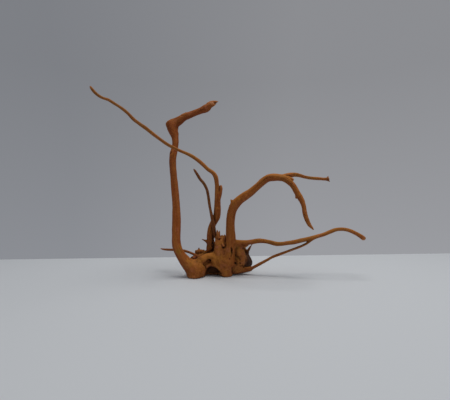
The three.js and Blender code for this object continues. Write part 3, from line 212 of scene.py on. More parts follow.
# stains and painted light and shade: which, how strong, where (x, y, z) and how wide, in millimetres. The light
# patches are painted light on parts that sit in shade; some dark patches are painted shade and some pink ones painted
# highlights, as marked below
STAINS = [
    # painted shade: dark patches down the shaded right side of the middle stem, over the gap_fill strand
    ("dark_wood_and_shade", 1.0, -31.0, 3.8, 50.5, 2.8),
    ("dark_wood_and_shade", 0.95, -31.1, 2.8, 57.5, 2.6),
    ("dark_wood_and_shade", 1.0, -30.7, 5.0, 43.3, 3.4),
    ("dark_wood_and_shade", 1.0, -30.4, 4.0, 37.0, 3.9),
    ("dark_wood_and_shade", 0.6, -32.6, -0.5, 65.6, 1.8),
    ("dark_wood_and_shade", 0.8, -31.8, 1.0, 60.8, 2.1),
    ("dark_wood_and_shade", 0.95, -31.5, 2.5, 53.7, 2.6),
    ("dark_wood_and_shade", 1.0, -31.3, 3.2, 46.7, 2.9),
    ("dark_wood_and_shade", 1.0, -30.9, 4.8, 40.3, 3.4),
    ("dark_wood_and_shade", 0.7, -32.1, 0.0, 34.3, 2.8),
    ("rust", 0.8, -33.4, -1.5, 70.3, 1.7),
    ("dark_wood_and_shade", 0.35, -14.2, -20.0, 44.3, 1.9),
    ("rust", 0.9, -14.8, -18.8, 43.1, 2.5),
    ("rust", 0.9, -12.0, -15.0, 53.3, 1.8),
    ("rust", 0.95, -20.7, -15.5, 55.0, 2.4),
    # painted highlight: a small pale pink spot on the knob
    ("pink_and_highlight", 0.8, -16.0, -20.8, 47.8, 1.8),
    ("gold", 0.9, -21.3, -18.5, 48.9, 4.1),
    ("pink_and_highlight", 0.75, -24.8, -18.5, 43.3, 3.4),
    ("olive", 0.7, -16.6, -11.0, 59.5, 2.2),
    ("pink_and_highlight", 0.6, -13.3, -14.0, 57.2, 2.2),
    ("pink_and_highlight", 0.35, -22.7, -12.5, 63.8, 2.7),
    ("dark_wood_and_shade", 0.35, -3.1, -20.8, 39.9, 2.2),
    ("olive", 0.6, -4.0, -21.0, 36.3, 3.3),
    ("rust", 0.8, -6.0, -22.0, 27.2, 1.9),
    ("dark_wood_and_shade", 0.8, -53.4, 7.8, 37.5, 1.7),
    ("rust", 0.45, -53.0, 4.8, 32.8, 3.1),
    ("dark_wood_and_shade", 0.35, -51.7, -17.0, 27.2, 2.4),
    ("gold", 0.6, -52.5, -12.8, 27.2, 3.4),
    ("olive", 0.55, -44.5, 4.8, 31.9, 3.5),
    ("pink_and_highlight", 0.7, -58.5, -11.0, 26.9, 3.3),
    ("rust", 0.8, -61.1, -6.5, 30.9, 1.9),
    ("rust", 0.8, -69.3, -0.8, 33.5, 2.3),
    ("rust", 0.5, -40.7, -18.2, 20.6, 3.7),
    ("rust", 0.5, -37.3, -16.5, 22.9, 3.4),
    ("pink_and_highlight", 0.85, -39.8, -17.8, 21.1, 3.8),
    ("dark_wood_and_shade", 0.45, -34.6, -17.2, 24.3, 2.1),
    ("dark_wood_and_shade", 0.2, -42.6, -20.2, 17.5, 1.3),
    ("pink_and_highlight", 0.7, -38.8, -17.2, 14.8, 2.2),
    ("pink_and_highlight", 0.4, -31.9, -16.8, 15.1, 3.0),
    ("gold", 0.8, -60.5, -25.2, 24.0, 7.2),
    ("gold", 0.9, -65.4, -27.0, 25.1, 4.3),
    ("gold", 0.8, -44.9, -20.5, 27.8, 4.4),
    ("gold", 0.95, -35.5, -19.0, 31.4, 5.1),
    ("gold", 0.7, -29.6, -20.8, 28.9, 3.7),
    ("gold", 0.5, -50.2, -27.8, 17.3, 5.0),
    ("olive", 0.55, -78.9, -26.5, 38.7, 5.8),
    ("olive", 0.6, -82.3, -26.5, 37.9, 3.6),
    ("olive", 0.5, -62.3, -28.5, 19.9, 3.6),
    ("olive", 0.5, -71.5, -27.8, 17.3, 3.2),
    ("gold", 0.5, -77.0, -21.5, 45.8, 5.8),
    ("pink_and_highlight", 0.5, -43.8, -24.8, 8.2, 3.3),
    ("rust", 0.8, -43.8, -20.0, 1.7, 2.3),
    ("pink_and_highlight", 0.25, -59.9, -30.8, 12.2, 4.3),
    ("rust", 0.35, -56.3, -31.5, 5.3, 5.7),
    ("pink_and_highlight", 0.25, -16.3, -20.2, 36.9, 4.4),
    ("pink_and_highlight", 0.5, -8.7, -20.5, 39.8, 4.4),
    ("pink_and_highlight", 0.5, -22.3, -20.8, 35.5, 4.4),
    ("gold", 0.4, -12.0, -21.8, 28.4, 4.4),
    ("pink_and_highlight", 0.4, -17.1, -23.0, 16.2, 5.1),
    ("gold", 0.5, -11.3, -22.5, 7.4, 4.4),
    ("pink_and_highlight", 0.6, -11.9, -23.5, 17.9, 1.7),
    ("pink_and_highlight", 0.6, -7.8, -22.2, 12.4, 1.7),
    ("pink_and_highlight", 0.75, -4.0, -19.5, 8.9, 1.9),
    ("pink_and_highlight", 0.6, -3.6, -18.8, 4.3, 1.6),
    ("rust", 0.7, -19.4, -23.0, 19.0, 1.6),
    ("rust", 0.7, -13.6, -23.2, 15.3, 1.5),
    ("gold", 0.5, -7.2, -23.2, 19.2, 2.2),
    ("rust", 0.4, -6.2, -20.8, 4.8, 2.2),
    ("gold", 0.6, -9.8, -19.0, 51.3, 3.7),
    ("olive", 0.3, -9.1, -20.5, 39.1, 2.2),
    ("rust", 0.35, -2.8, -21.0, 52.3, 3.7),
    ("olive", 0.35, -10.1, -18.2, 64.5, 2.9),
    ("gold", 0.6, -4.9, -21.2, 56.0, 2.9),
    ("olive", 0.55, 6.0, -14.0, 41.0, 4.5),
    ("gold", 0.8, 7.4, -14.8, 36.2, 4.4),
    # painted highlight: a pale pink streak on the bulge
    ("pink_and_highlight", 0.8, 12.0, -13.0, 41.3, 2.8),
    ("pink_and_highlight", 0.65, 13.4, -13.2, 33.4, 4.5),
    ("gold", 0.5, 6.2, -14.5, 27.1, 3.6),
    ("olive", 0.75, 5.9, -14.2, 26.6, 3.1),
    ("pink_and_highlight", 0.35, 11.7, -14.2, 26.2, 3.7),
    ("rust", 0.8, 2.7, -14.8, 20.2, 2.2),
    ("rust", 0.6, 4.2, -13.2, 16.3, 2.2),
    ("rust", 0.8, 10.1, -13.8, 17.6, 1.9),
    ("rust", 0.8, 13.3, -11.0, 13.7, 2.2),
    ("pink_and_highlight", 0.4, 14.4, -12.0, 19.8, 3.0),
    ("pink_and_highlight", 0.35, -0.3, -19.0, 37.4, 2.9),
    # painted light: these light patches brighten parts that sit in shade
    ("painted_light", 0.6, -39.9, -17.2, 19.8, 4.4),
    ("painted_light", 0.75, 5.9, -12.5, 9.4, 7.5),
    ("painted_light", 0.6, 3.6, -13.2, 16.3, 5.2),
    ("painted_light", 0.35, -6.2, -21.5, 11.5, 4.4),
    ("painted_light", 0.3, -21.7, -12.5, 7.2, 3.7),
    ("painted_light", 0.65, 2.9, -15.5, 44.2, 4.4),
    ("painted_light", 0.45, 7.1, -14.5, 37.3, 5.2),
    ("painted_light", 0.5, -41.7, -20.8, 25.8, 3.2),
    ("painted_light", 0.35, -66.4, -29.0, 18.3, 5.0),
    ("painted_light", 0.25, -17.1, -21.5, 6.4, 4.4),
    ("painted_light", 0.35, -4.7, -22.5, 22.7, 4.4),
    # painted shade: two dark patches at the front of the stump above the left foot, where shadow falls
    ("dark_wood_and_shade", 0.2, -52.6, -23.0, 23.1, 5.8),
    ("dark_wood_and_shade", 0.3, -48.6, -20.0, 27.1, 2.9),
    ("gold", 0.4, 7.4, -11.8, 8.2, 5.2),
    ("olive", 0.4, 0.3, -14.0, 9.8, 3.7),
    ("rust", 0.7, 19.6, -8.5, 8.4, 3.8),
    ("rust", 0.7, 27.1, -8.5, 10.5, 3.4),
    ("rust", 0.4, -0.0, -11.0, 3.0, 3.0),
    ("dark_wood_and_shade", 0.9, 19.7, 13.2, 8.4, 3.2),
    ("dark_wood_and_shade", 0.5, 20.4, 5.0, 17.0, 3.1),
    ("rust", 0.7, -22.4, -5.2, 119.1, 3.0),
    ("rust", 0.8, -20.7, -3.8, 128.2, 3.0),
    ("rust", 0.5, -25.1, -7.0, 140.9, 3.0),
    ("rust", 0.6, -31.6, -8.2, 85.2, 3.8),
    ("rust", 0.4, -34.9, -0.8, 74.0, 3.1),
    ("olive", 0.5, -37.9, 1.2, 42.3, 3.1),
    ("rust", 0.55, -24.6, -5.2, 106.9, 6.8),
    ("rust", 0.6, -24.3, -4.5, 94.0, 6.8),
    ("rust", 0.55, -28.6, -3.0, 80.3, 6.1),
    ("rust", 0.45, -37.3, 0.0, 57.9, 4.6),
    ("pink_and_highlight", 0.3, -37.9, 0.8, 47.0, 3.8),
    ("gold", 0.7, 16.5, -30.8, 123.3, 4.6),
    ("dark_wood_and_shade", 0.25, -40.0, 5.0, 125.4, 4.6),
    ("olive", 0.5, -43.9, 7.5, 134.8, 4.7),
    ("rust", 0.8, -35.6, -2.8, 103.9, 5.3),
    ("rust", 0.7, -33.1, -7.2, 90.4, 4.5),
    ("gold", 0.8, 6.7, -29.5, 115.0, 3.2),
    ("gold", 0.6, 27.0, -33.2, 130.1, 3.6),
    ("gold", 0.5, 39.5, -36.0, 140.7, 3.5),
    ("gold", 0.5, 57.9, -39.8, 147.7, 4.2),
    ("olive", 0.6, -5.2, -24.0, 105.2, 2.2),
    ("olive", 0.5, -0.9, -27.5, 106.4, 2.2),
    ("rust", 0.9, 80.0, -34.5, 147.6, 3.5),
    ("rust", 0.45, 71.3, -42.5, 143.3, 3.5),
    ("pink_and_highlight", 0.35, 82.6, -44.8, 135.1, 2.8),
    ("gold", 0.5, 89.6, -48.0, 119.9, 2.7),
    ("pink_and_highlight", 0.4, 96.5, -51.8, 98.0, 2.4),
    ("gold", 0.4, 98.8, -54.2, 86.0, 2.4),
    ("dark_wood_and_shade", 0.55, 141.6, -8.2, 145.2, 2.6),
    ("rust", 0.4, -85.1, -13.0, 99.6, 3.0),
    ("pink_and_highlight", 0.35, -83.5, -19.2, 70.4, 3.7),
    ("rust", 0.55, -89.4, -8.5, 128.0, 6.0),
    ("rust", 0.5, -91.1, -5.5, 152.3, 6.8),
    ("rust", 0.65, -92.4, -3.2, 173.8, 6.1),
    ("rust", 0.65, -90.9, -1.5, 188.6, 5.3),
    ("rust", 0.6, -95.6, 0.8, 229.3, 5.4),
    ("rust", 0.45, -86.9, 3.8, 233.8, 6.2),
    ("gold", 0.4, -93.8, -4.0, 161.6, 2.3),
    ("rust", 0.6, -94.9, 0.2, 225.6, 3.1),
    ("pink_and_highlight", 0.45, -88.4, 3.5, 235.5, 3.9),
    ("pink_and_highlight", 0.4, -67.4, 8.5, 247.8, 3.9),
    ("rust", 0.4, -52.7, 10.5, 253.7, 3.5),
    ("pink_and_highlight", 0.5, -42.6, 11.0, 258.2, 3.9),
    # painted highlight: a pink spot at the broken end of the left arm
    ("pink_and_highlight", 0.6, -31.0, 16.8, 267.9, 2.4),
    ("pink_and_highlight", 0.6, 188.7, -23.5, 59.5, 2.5),
    ("gold", 0.5, 168.3, -21.5, 70.4, 3.7),
    ("pink_and_highlight", 0.4, 126.6, -19.5, 61.7, 3.7),
    ("gold", 0.5, 97.6, -18.0, 54.1, 4.4),
    ("pink_and_highlight", 0.35, 75.8, -17.0, 49.6, 4.4),
    ("gold", 0.5, 50.9, -15.5, 52.3, 4.4),
    ("olive", 0.4, 33.2, -14.5, 53.4, 3.7),
    ("pink_and_highlight", 0.4, 24.3, -14.5, 51.9, 3.7),
    ("olive", 0.3, -38.2, -10.2, 159.4, 12.0),
    ("olive", 0.34, -64.4, -16.5, 179.5, 17.7),
    ("olive", 0.38, -95.2, -25.5, 193.1, 20.3),
    ("olive", 0.42, -125.0, -38.8, 214.3, 21.0),
    ("olive", 0.45, -154.6, -50.2, 238.5, 23.2),
    ("olive", 0.45, -181.9, -60.0, 252.6, 14.6),
    ("olive", 0.25, -37.3, 0.2, 111.3, 10.7),
    ("olive", 0.5, -45.8, 8.5, 138.6, 10.9),
    ("olive", 0.45, 89.3, -28.2, 149.2, 11.5),
    ("olive", 0.45, 117.3, -16.0, 145.4, 14.8),
    ("olive", 0.3, 62.6, -16.5, 48.6, 19.2),
    ("olive", 0.32, 104.9, -18.5, 55.1, 20.6),
    ("olive", 0.3, 152.3, -21.2, 69.8, 20.5),
    ("olive", 0.25, 69.3, -42.2, 142.8, 9.7),
    ("olive", 0.35, 49.4, -10.2, 22.7, 15.0),
    ("olive", 0.3, 83.7, -14.2, 38.2, 14.8),
    ("dark_wood_and_shade", 0.14, -99.2, -27.5, 195.7, 28.8),
    ("dark_wood_and_shade", 0.18, -131.3, -41.0, 218.7, 34.9),
    ("dark_wood_and_shade", 0.2, -161.8, -53.0, 243.2, 33.9),
    ("dark_wood_and_shade", 0.16, -183.2, -60.0, 253.1, 18.6),
    ("rust", 0.5, -190.4, -60.0, 261.6, 2.0),
    ("gold", 0.5, -172.4, -57.0, 248.5, 2.7),
    ("gold", 0.6, -155.8, -50.8, 239.7, 2.7),
    ("gold", 0.5, -131.3, -41.2, 219.0, 2.8),
    ("rust", 0.4, -105.7, -30.5, 199.8, 2.9),
    ("gold", 0.5, -71.6, -18.0, 182.9, 2.9),
    ("gold", 0.5, -41.2, -11.0, 161.6, 3.0),
]
CAMERA = (-0.01275, -0.45952, 0.113)


# ------------------------------------------------------------- small helpers
def smooth(a, b, x):
    t = np.clip((x - a) / (b - a), 0.0, 1.0)
    return t * t * (3.0 - 2.0 * t)


def lattice(ix, iy, iz, seed):
    """A repeatable random number from 0 to 1 at each lattice point."""
    n = (
        ix.astype(np.int64) * 374761393
        + iy.astype(np.int64) * 668265263
        + iz.astype(np.int64) * 2147483647
        + seed * 1274126177
    ) & 0xFFFFFFFF
    n = ((n ^ (n >> 13)) * 1274126177) & 0xFFFFFFFF
    n = ((n ^ (n >> 16)) * 2246822519) & 0xFFFFFFFF
    n = n ^ (n >> 15)
    return (n & 0xFFFFFF).astype(np.float64) / float(0xFFFFFF)


def noise(p, seed=0):
    """Smooth noise from -1 to 1 at points p (n, 3)."""
    base = np.floor(p)
    f = p - base
    f = f * f * f * (f * (f * 6.0 - 15.0) + 10.0)
    i = base.astype(np.int64)
    out = np.zeros(len(p))
    for dx in (0, 1):
        wx = f[:, 0] if dx else 1.0 - f[:, 0]
        for dy in (0, 1):
            wy = f[:, 1] if dy else 1.0 - f[:, 1]
            for dz in (0, 1):
                wz = f[:, 2] if dz else 1.0 - f[:, 2]
                out += (
                    wx
                    * wy
                    * wz
                    * lattice(i[:, 0] + dx, i[:, 1] + dy, i[:, 2] + dz, seed)
                )
    return out * 2.0 - 1.0


def fractal(p, seed=0, octaves=3):
    out = np.zeros(len(p))
    amp, total = 1.0, 0.0
    for k in range(octaves):
        out += amp * noise(p * 2.0**k + 17.3 * k, seed + 31 * k)
        total += amp
        amp *= 0.5
    return out / total


def resample(points, spacing):
    """A smooth line through the points, at about even spacing: (n, 4)."""
    p = np.array(points, float)
    ext = np.vstack([2 * p[0] - p[1], p, 2 * p[-1] - p[-2]])
    out = []
    for k in range(1, len(ext) - 2):
        p0, p1, p2, p3 = ext[k - 1], ext[k], ext[k + 1], ext[k + 2]
        d = [
            max(1e-4, np.linalg.norm(b[:3] - a[:3]) ** 0.5)
            for a, b in ((p0, p1), (p1, p2), (p2, p3))
        ]
        m1 = (p1 - p0) / d[0] - (p2 - p0) / (d[0] + d[1]) + (p2 - p1) / d[1]
        m2 = (p2 - p1) / d[1] - (p3 - p1) / (d[1] + d[2]) + (p3 - p2) / d[2]
        m1, m2 = m1 * d[1], m2 * d[1]
        n = max(1, int(math.ceil(np.linalg.norm(p2[:3] - p1[:3]) / spacing)))
        for t in np.arange(n) / n:
            out.append(
                (2 * t**3 - 3 * t**2 + 1) * p1
                + (t**3 - 2 * t**2 + t) * m1
                + (-2 * t**3 + 3 * t**2) * p2
                + (t**3 - t**2) * m2
            )
    out.append(p[-1])
    out = np.array(out)
    out[:, 3] = np.maximum(out[:, 3], 0.35)
    return out


# --------------------------------------------------------- the distance field
tubes = {}
for name, pts in list(LIMBS.items()) + list(STRANDS.items()):
    mean = float(np.mean([p[3] for p in pts]))
    tubes[name] = resample(pts, 2.0 if mean < 3.5 else 3.0)

every = np.vstack(list(tubes.values()))
low = (every[:, :3] - every[:, 3:]).min(0) - 4.0
high = (every[:, :3] + every[:, 3:]).max(0) + 4.0
low[2] = -2.5 * CELL
shape = tuple(int(n) for n in np.ceil((high - low) / CELL).astype(int) + 1)
axes = [low[a] + CELL * np.arange(shape[a]) for a in range(3)]
FAR = np.float32(PAD)
field = np.full(shape, FAR, np.float32)


def window(lo, hi):
    i0 = [max(0, int(math.floor((lo[a] - low[a]) / CELL))) for a in range(3)]
    i1 = [
        min(shape[a], int(math.ceil((hi[a] - low[a]) / CELL)) + 1) for a in range(3)
    ]
    return i0, i1


def tube_field(line, pad):
    """Distance to a tapered tube, on the part of the grid around it."""
    lo = (line[:, :3] - line[:, 3:]).min(0) - pad
    hi = (line[:, :3] + line[:, 3:]).max(0) + pad
    g0, g1 = window(lo, hi)
    if min(g1[a] - g0[a] for a in range(3)) <= 0:
        return None
    out = np.full([g1[a] - g0[a] for a in range(3)], FAR, np.float32)
    for a, b in zip(line[:-1], line[1:]):
        r = max(a[3], b[3]) + pad
        i0, i1 = window(np.minimum(a[:3], b[:3]) - r, np.maximum(a[:3], b[:3]) + r)
        i0 = [max(i0[k], g0[k]) for k in range(3)]
        i1 = [min(i1[k], g1[k]) for k in range(3)]
        if min(i1[k] - i0[k] for k in range(3)) <= 0:
            continue
        x = (axes[0][i0[0] : i1[0]] - a[0])[:, None, None]
        y = (axes[1][i0[1] : i1[1]] - a[1])[None, :, None]
        z = (axes[2][i0[2] : i1[2]] - a[2])[None, None, :]
        d = b[:3] - a[:3]
        t = np.clip((x * d[0] + y * d[1] + z * d[2]) / max(d @ d, 1e-9), 0.0, 1.0)
        dist = np.sqrt(
            (x - t * d[0]) ** 2 + (y - t * d[1]) ** 2 + (z - t * d[2]) ** 2
        ) - (a[3] + t * (b[3] - a[3]))
        s = tuple(slice(i0[k] - g0[k], i1[k] - g0[k]) for k in range(3))
        out[s] = np.minimum(out[s], dist.astype(np.float32))
    return tuple(slice(g0[k], g1[k]) for k in range(3)), out


def blend_in(where, other, k):
    """Joins other to the field with a fillet of width k."""
    here = field[where]
    h = np.maximum(k - np.abs(here - other), 0.0) / k
    field[where] = np.minimum(here, other) - h * h * (k * 0.25)


def cut_out(where, other, k):
    """Takes other away from the field, with the rim rounded over k."""
    here = field[where]
    h = np.maximum(k - np.abs(here + other), 0.0) / k
    field[where] = np.maximum(here, -other) + h * h * (k * 0.25)


for name, line in tubes.items():
    k = FILLET.get(name, 4.0 if name in STRANDS else 3.0)
    made = tube_field(line, PAD)
    if made:
        blend_in(made[0], made[1], k)

# the hollow under the stump
hollow_field = np.full(shape, PAD, np.float32)
for cave in CAVES:
    for a, b in zip(cave[:-1], cave[1:]):
        half = max(a[3], b[3]) + 3.0
        up = max(a[4], b[4]) + 3.0
        lo = [min(a[0], b[0]) - half, a[1], -5.0]
        hi = [max(a[0], b[0]) + half, b[1], a[2] + up]
        i0, i1 = window(lo, hi)
        i1[1] = min(i1[1], int(math.floor((b[1] - low[1]) / CELL)) + 1)
        x = axes[0][i0[0] : i1[0]][:, None, None]
        y = axes[1][i0[1] : i1[1]][None, :, None]
        z = axes[2][i0[2] : i1[2]][None, None, :]
        t = np.clip((y - a[1]) / (b[1] - a[1]), 0.0, 1.0)
        cx = a[0] + t * (b[0] - a[0])
        cz = a[2] + t * (b[2] - a[2])
        rx = a[3] + t * (b[3] - a[3])
        rz = a[4] + t * (b[4] - a[4])
        e = np.sqrt(((x - cx) / rx) ** 2 + ((z - cz) / rz) ** 2)
        dist = ((e - 1.0) * np.minimum(rx, rz)).astype(np.float32)
        s = tuple(slice(i0[k], i1[k]) for k in range(3))
        dist = np.broadcast_to(dist, field[s].shape)
        cut_out(s, dist, 2.0)
        hollow_field[s] = np.minimum(hollow_field[s], dist)

for pts, k in CUTS:
    made = tube_field(resample(pts, 1.5), 3.0)
    if made:
        cut_out(made[0], made[1], k)

# the feet are worn flat
s = (slice(None), slice(None), slice(0, min(shape[2], int(8 / CELL))))
z = np.broadcast_to(axes[2][s[2]][None, None, :], field[s].shape).astype(np.float32)
here = field[s]
h = np.maximum(SOLE_RIM - np.abs(here + z), 0.0) / SOLE_RIM
field[s] = np.maximum(here, -z) + h * h * SOLE_RIM * 0.25


# ---------------------------------------------------------------- the surface
def surface_nets(f):
    inside = f < 0
    strides = (f.shape[1] * f.shape[2], f.shape[2], 1)
    cells, points, faces = [], [], []
    for a in range(3):
        b, c = (a + 1) % 3, (a + 2) % 3
        s0 = [slice(1, -1)] * 3
        s1 = [slice(1, -1)] * 3
        s0[a], s1[a] = slice(0, -1), slice(1, None)
        f0, f1 = f[tuple(s0)], f[tuple(s1)]
        hit = np.argwhere(inside[tuple(s0)] != inside[tuple(s1)])
        v0 = f0[tuple(hit.T)].astype(float)
        v1 = f1[tuple(hit.T)].astype(float)
        ijk = hit + np.array([0 if d == a else 1 for d in range(3)])
        p = ijk.astype(float)
        p[:, a] += v0 / (v0 - v1)
        base = ijk @ np.array(strides)
        corner = [
            base - strides[b] - strides[c],
            base - strides[c],
            base,
            base - strides[b],
        ]
        for q in corner:
            cells.append(q)
            points.append(p)
        quad = np.stack(corner, 1)
        flip = v0 > 0
        quad[flip] = quad[flip][:, ::-1]
        faces.append(quad)
    cells = np.concatenate(cells)
    points = np.concatenate(points)
    ids, index = np.unique(cells, return_inverse=True)
    index = index.reshape(-1)
    count = np.bincount(index)
    verts = np.stack(
        [np.bincount(index, weights=points[:, k]) / count for k in range(3)], 1
    )
    quads = np.searchsorted(ids, np.concatenate(faces))
    return verts, quads


verts, quads = surface_nets(field)
gradient_step = 0.5


def sample(p, field=field):
    """The field at grid points p, by trilinear interpolation."""
    q = np.clip(p, 0, np.array(shape) - 1.001)
    i = q.astype(int)
    f = q - i
    out = 0.0
    for dx in (0, 1):
        wx = f[:, 0] if dx else 1 - f[:, 0]
        for dy in (0, 1):
            wy = f[:, 1] if dy else 1 - f[:, 1]
            for dz in (0, 1):
                wz = f[:, 2] if dz else 1 - f[:, 2]
                out = out + wx * wy * wz * field[i[:, 0] + dx, i[:, 1] + dy, i[:, 2] + dz]
    return out


def slope(p, e=0.6):
    g = np.stack(
        [
            sample(p + np.eye(3)[a] * e) - sample(p - np.eye(3)[a] * e)
            for a in range(3)
        ],
        1,
    ) / (2 * e)
    return g


# the edges of the net, for smoothing along the surface
edges = np.concatenate([quads[:, [k, (k + 1) % 4]] for k in range(4)])
edges = np.unique(np.sort(edges, 1), axis=0)
degree = np.bincount(edges.ravel(), minlength=len(verts)).astype(float)


def neighbours_mean(v):
    out = np.empty_like(v)
    for k in range(v.shape[1]):
        out[:, k] = (
            np.bincount(edges[:, 0], weights=v[edges[:, 1], k], minlength=len(v))
            + np.bincount(edges[:, 1], weights=v[edges[:, 0], k], minlength=len(v))
        ) / degree
    return out


for _ in range(4):
    verts = verts + 0.5 * (neighbours_mean(verts) - verts)
    g = slope(verts)
    n2 = np.maximum((g * g).sum(1), 0.05)
    move = (sample(verts) / n2)[:, None] * g
    size = np.linalg.norm(move, axis=1, keepdims=True)
    verts = verts - move * np.minimum(1.0, 0.6 / np.maximum(size, 1e-9))

normal = slope(verts, 0.8)
normal /= np.maximum(np.linalg.norm(normal, axis=1, keepdims=True), 1e-9)
verts = verts * CELL + low  # millimetres from here on


# --------------------------------------------- where each point is on its limb
class Line:
    """A limb's centre line, with a frame that doesn't twist along it."""

    def __init__(self, pts, number):
        self.p = pts[:, :3]
        self.r = pts[:, 3]
        d = np.diff(self.p, axis=0)
        self.len = np.linalg.norm(d, axis=1)
        self.s = np.concatenate([[0], np.cumsum(self.len)])
        t = d / self.len[:, None]
        t = np.vstack([t[0], (t[1:] + t[:-1]) / 2, t[-1]])
        t /= np.linalg.norm(t, axis=1)[:, None]
        n = np.cross(t[0], [0.0, 1.0, 0.0] if abs(t[0][1]) < 0.9 else [1.0, 0.0, 0.0])
        ns = []
        for k in range(len(t)):
            n = n - (n @ t[k]) * t[k]
            n /= np.linalg.norm(n)
            ns.append(n)
        self.t, self.n = t, np.array(ns)
        self.b = np.cross(self.t, self.n)
        self.number = number

    def place(self, v):
        """For points v: distance from the skin, place along, and the offset
        across the limb in its own frame."""
        a, b = self.p[:-1], self.p[1:]
        d = b - a
        best = np.full(len(v), 1e9)
        seg = np.zeros(len(v), int)
        tt = np.zeros(len(v))
        for k in range(len(a)):
            w = v - a[k]
            t = np.clip(w @ d[k] / (d[k] @ d[k]), 0, 1)
            dist = np.linalg.norm(w - t[:, None] * d[k], axis=1) - (
                self.r[k] + t * (self.r[k + 1] - self.r[k])
            )
            m = dist < best
            best[m], seg[m], tt[m] = dist[m], k, t[m]
        mix = lambda q: q[seg] * (1 - tt)[:, None] + q[seg + 1] * tt[:, None]
        off = v - mix(self.p)
        x = (off * mix(self.n)).sum(1)
        y = (off * mix(self.b)).sum(1)
        z = (off * mix(self.t)).sum(1) + self.s[seg] + tt * self.len[seg]
        r = self.r[seg] * (1 - tt) + self.r[seg + 1] * tt
        return best, np.stack([x, y, z], 1), r


lines = [Line(line, i) for i, line in enumerate(tubes.values())]
names = list(tubes)
N = len(verts)
d1 = np.full(N, 1e6)
d2 = np.full(N, 1e6)
l1 = np.zeros(N, int)
l2 = np.zeros(N, int)
g1 = np.zeros((N, 3))
g2 = np.zeros((N, 3))
rad1 = np.full(N, 3.0)
rad2 = np.full(N, 3.0)
for line in lines:
    pad = 7.0
    lo = (line.p - line.r[:, None]).min(0) - pad
    hi = (line.p + line.r[:, None]).max(0) + pad
    near = np.nonzero(((verts > lo) & (verts < hi)).all(1))[0]
    if not len(near):
        continue
    dist, where, r = line.place(verts[near])
    first = dist < d1[near]
    second = ~first & (dist < d2[near])
    i = near[first]
    d2[i], l2[i], g2[i], rad2[i] = d1[i], l1[i], g1[i], rad1[i]
    d1[i], l1[i], g1[i], rad1[i] = dist[first], line.number, where[first], r[first]
    i = near[second]
    d2[i], l2[i], g2[i], rad2[i] = (
        dist[second],
        line.number,
        where[second],
        r[second],
    )
# how much of the neighbour's grain shows: a half where the two meet
share = 0.5 * (1.0 - smooth(0.0, 4.0, d2 - d1))


def across(g, r):
    """The direction across the limb as a unit circle, faded at the axis."""
    rho = np.maximum(np.hypot(g[:, 0], g[:, 1]), 0.35 * r + 0.2)
    return g[:, 0] / rho, g[:, 1] / rho


def relief(g, r, number):
    """Lengthwise flutes and swellings on one limb, outwards in millimetres."""
    c, s = across(g, r)
    z = g[:, 2]
    off = number * 7.31
    flutes = noise(np.stack([c * 1.5 + off, s * 1.5, z / 34.0], 1), 3)
    ribs = noise(np.stack([c * 3.2, s * 3.2 + off, z / 24.0], 1), 5)
    lines = noise(np.stack([c * r * 0.55 + off, s * r * 0.55, z / 13.0], 1), 7)
    swell = noise(np.stack([z / 11.0, off + 0 * z, 0.35 * c], 1), 9)
    return (
        flutes * np.minimum(0.12 * r, 0.85)
        + ribs * np.minimum(0.035 * r, 0.18)
        + lines * np.minimum(0.035 * r, 0.11)
        + swell * np.minimum(0.05 * r, 0.35)
    )


in_stump = np.array([n in STRANDS for n in names])
stumpy = (1.0 - share) * in_stump[l1] + share * in_stump[l2]
for _ in range(10):
    stumpy = neighbours_mean(stumpy[:, None])[:, 0]

lift = (1.0 - share) * relief(g1, rad1, l1) + share * relief(g2, rad2, l2)

# the stump is rougher: folds, dents and small pits
p = verts
warp = np.stack([noise(p / 14.0, 21), noise(p / 14.0, 22), noise(p / 14.0, 23)], 1)
folds = 1.0 - np.abs(noise((p + 5.0 * warp) / np.array([7.5, 7.5, 10.0]), 24)) * 2.0
dents = fractal((p + 2.0 * warp) / 6.0, 25, 3)
lift *= 1.0 - 0.35 * stumpy
grit = fractal((p + 1.5 * warp) / 3.4, 27, 2)
lift += stumpy * (0.45 * folds - 0.20 + 0.75 * dents + 0.30 * grit)
lift += (1.0 - stumpy) * 0.13 * fractal(p / 5.0, 26, 2)

# knots and scars of lost twigs
for name, at, turn, size, height in KNOTS:
    k = names.index(name)
    line = lines[k]
    mine = np.nonzero(l1 == k)[0]
    s0 = at * line.s[-1]
    r0 = np.interp(s0, line.s, line.r)
    a = math.radians(turn)
    e = np.stack(
        [
            g1[mine, 0] - r0 * math.cos(a),
            g1[mine, 1] - r0 * math.sin(a),
            (g1[mine, 2] - s0) * 0.7,
        ],
        1,
    )
    q = np.linalg.norm(e, axis=1) / size
    ring = np.exp(-((q - 0.75) ** 2) * 9.0) * 0.5 + np.exp(-q * q * 1.6)
    lift[mine] += height * (ring - 0.9 * np.exp(-q * q * 9.0))

keep = smooth(0.0, 1.6, verts[:, 2])  # the worn soles stay flat
skin = verts + normal * (lift * (0.15 + 0.85 * keep))[:, None]
skin[:, 2] = np.maximum(skin[:, 2], 0.0)
sole = verts[:, 2] < 0.12
skin[sole, 2] = 0.0

# how closed in each point is, near and further off; this is painted below as shade in hollows (painted occlusion)
near_in = np.clip(1.0 - sample(((verts + normal * 2.0) - low) / CELL) / 2.0, 0, 1)
far_in = np.clip(1.0 - sample(((verts + normal * 4.2) - low) / CELL) / 4.2, 0, 1)
hollow = ((neighbours_mean(skin) - skin) * normal).sum(1)
for _ in range(2):
    hollow = 0.5 * hollow + 0.5 * neighbours_mean(hollow[:, None])[:, 0]
# broad hollows in the stump; their depth is painted below as shade
flat = skin.copy()
for _ in range(14):
    flat = neighbours_mean(flat)
broad = np.clip(((flat - skin) * normal).sum(1) / 0.9, -1.0, 1.0) * stumpy
for _ in range(2):
    broad = neighbours_mean(broad[:, None])[:, 0]
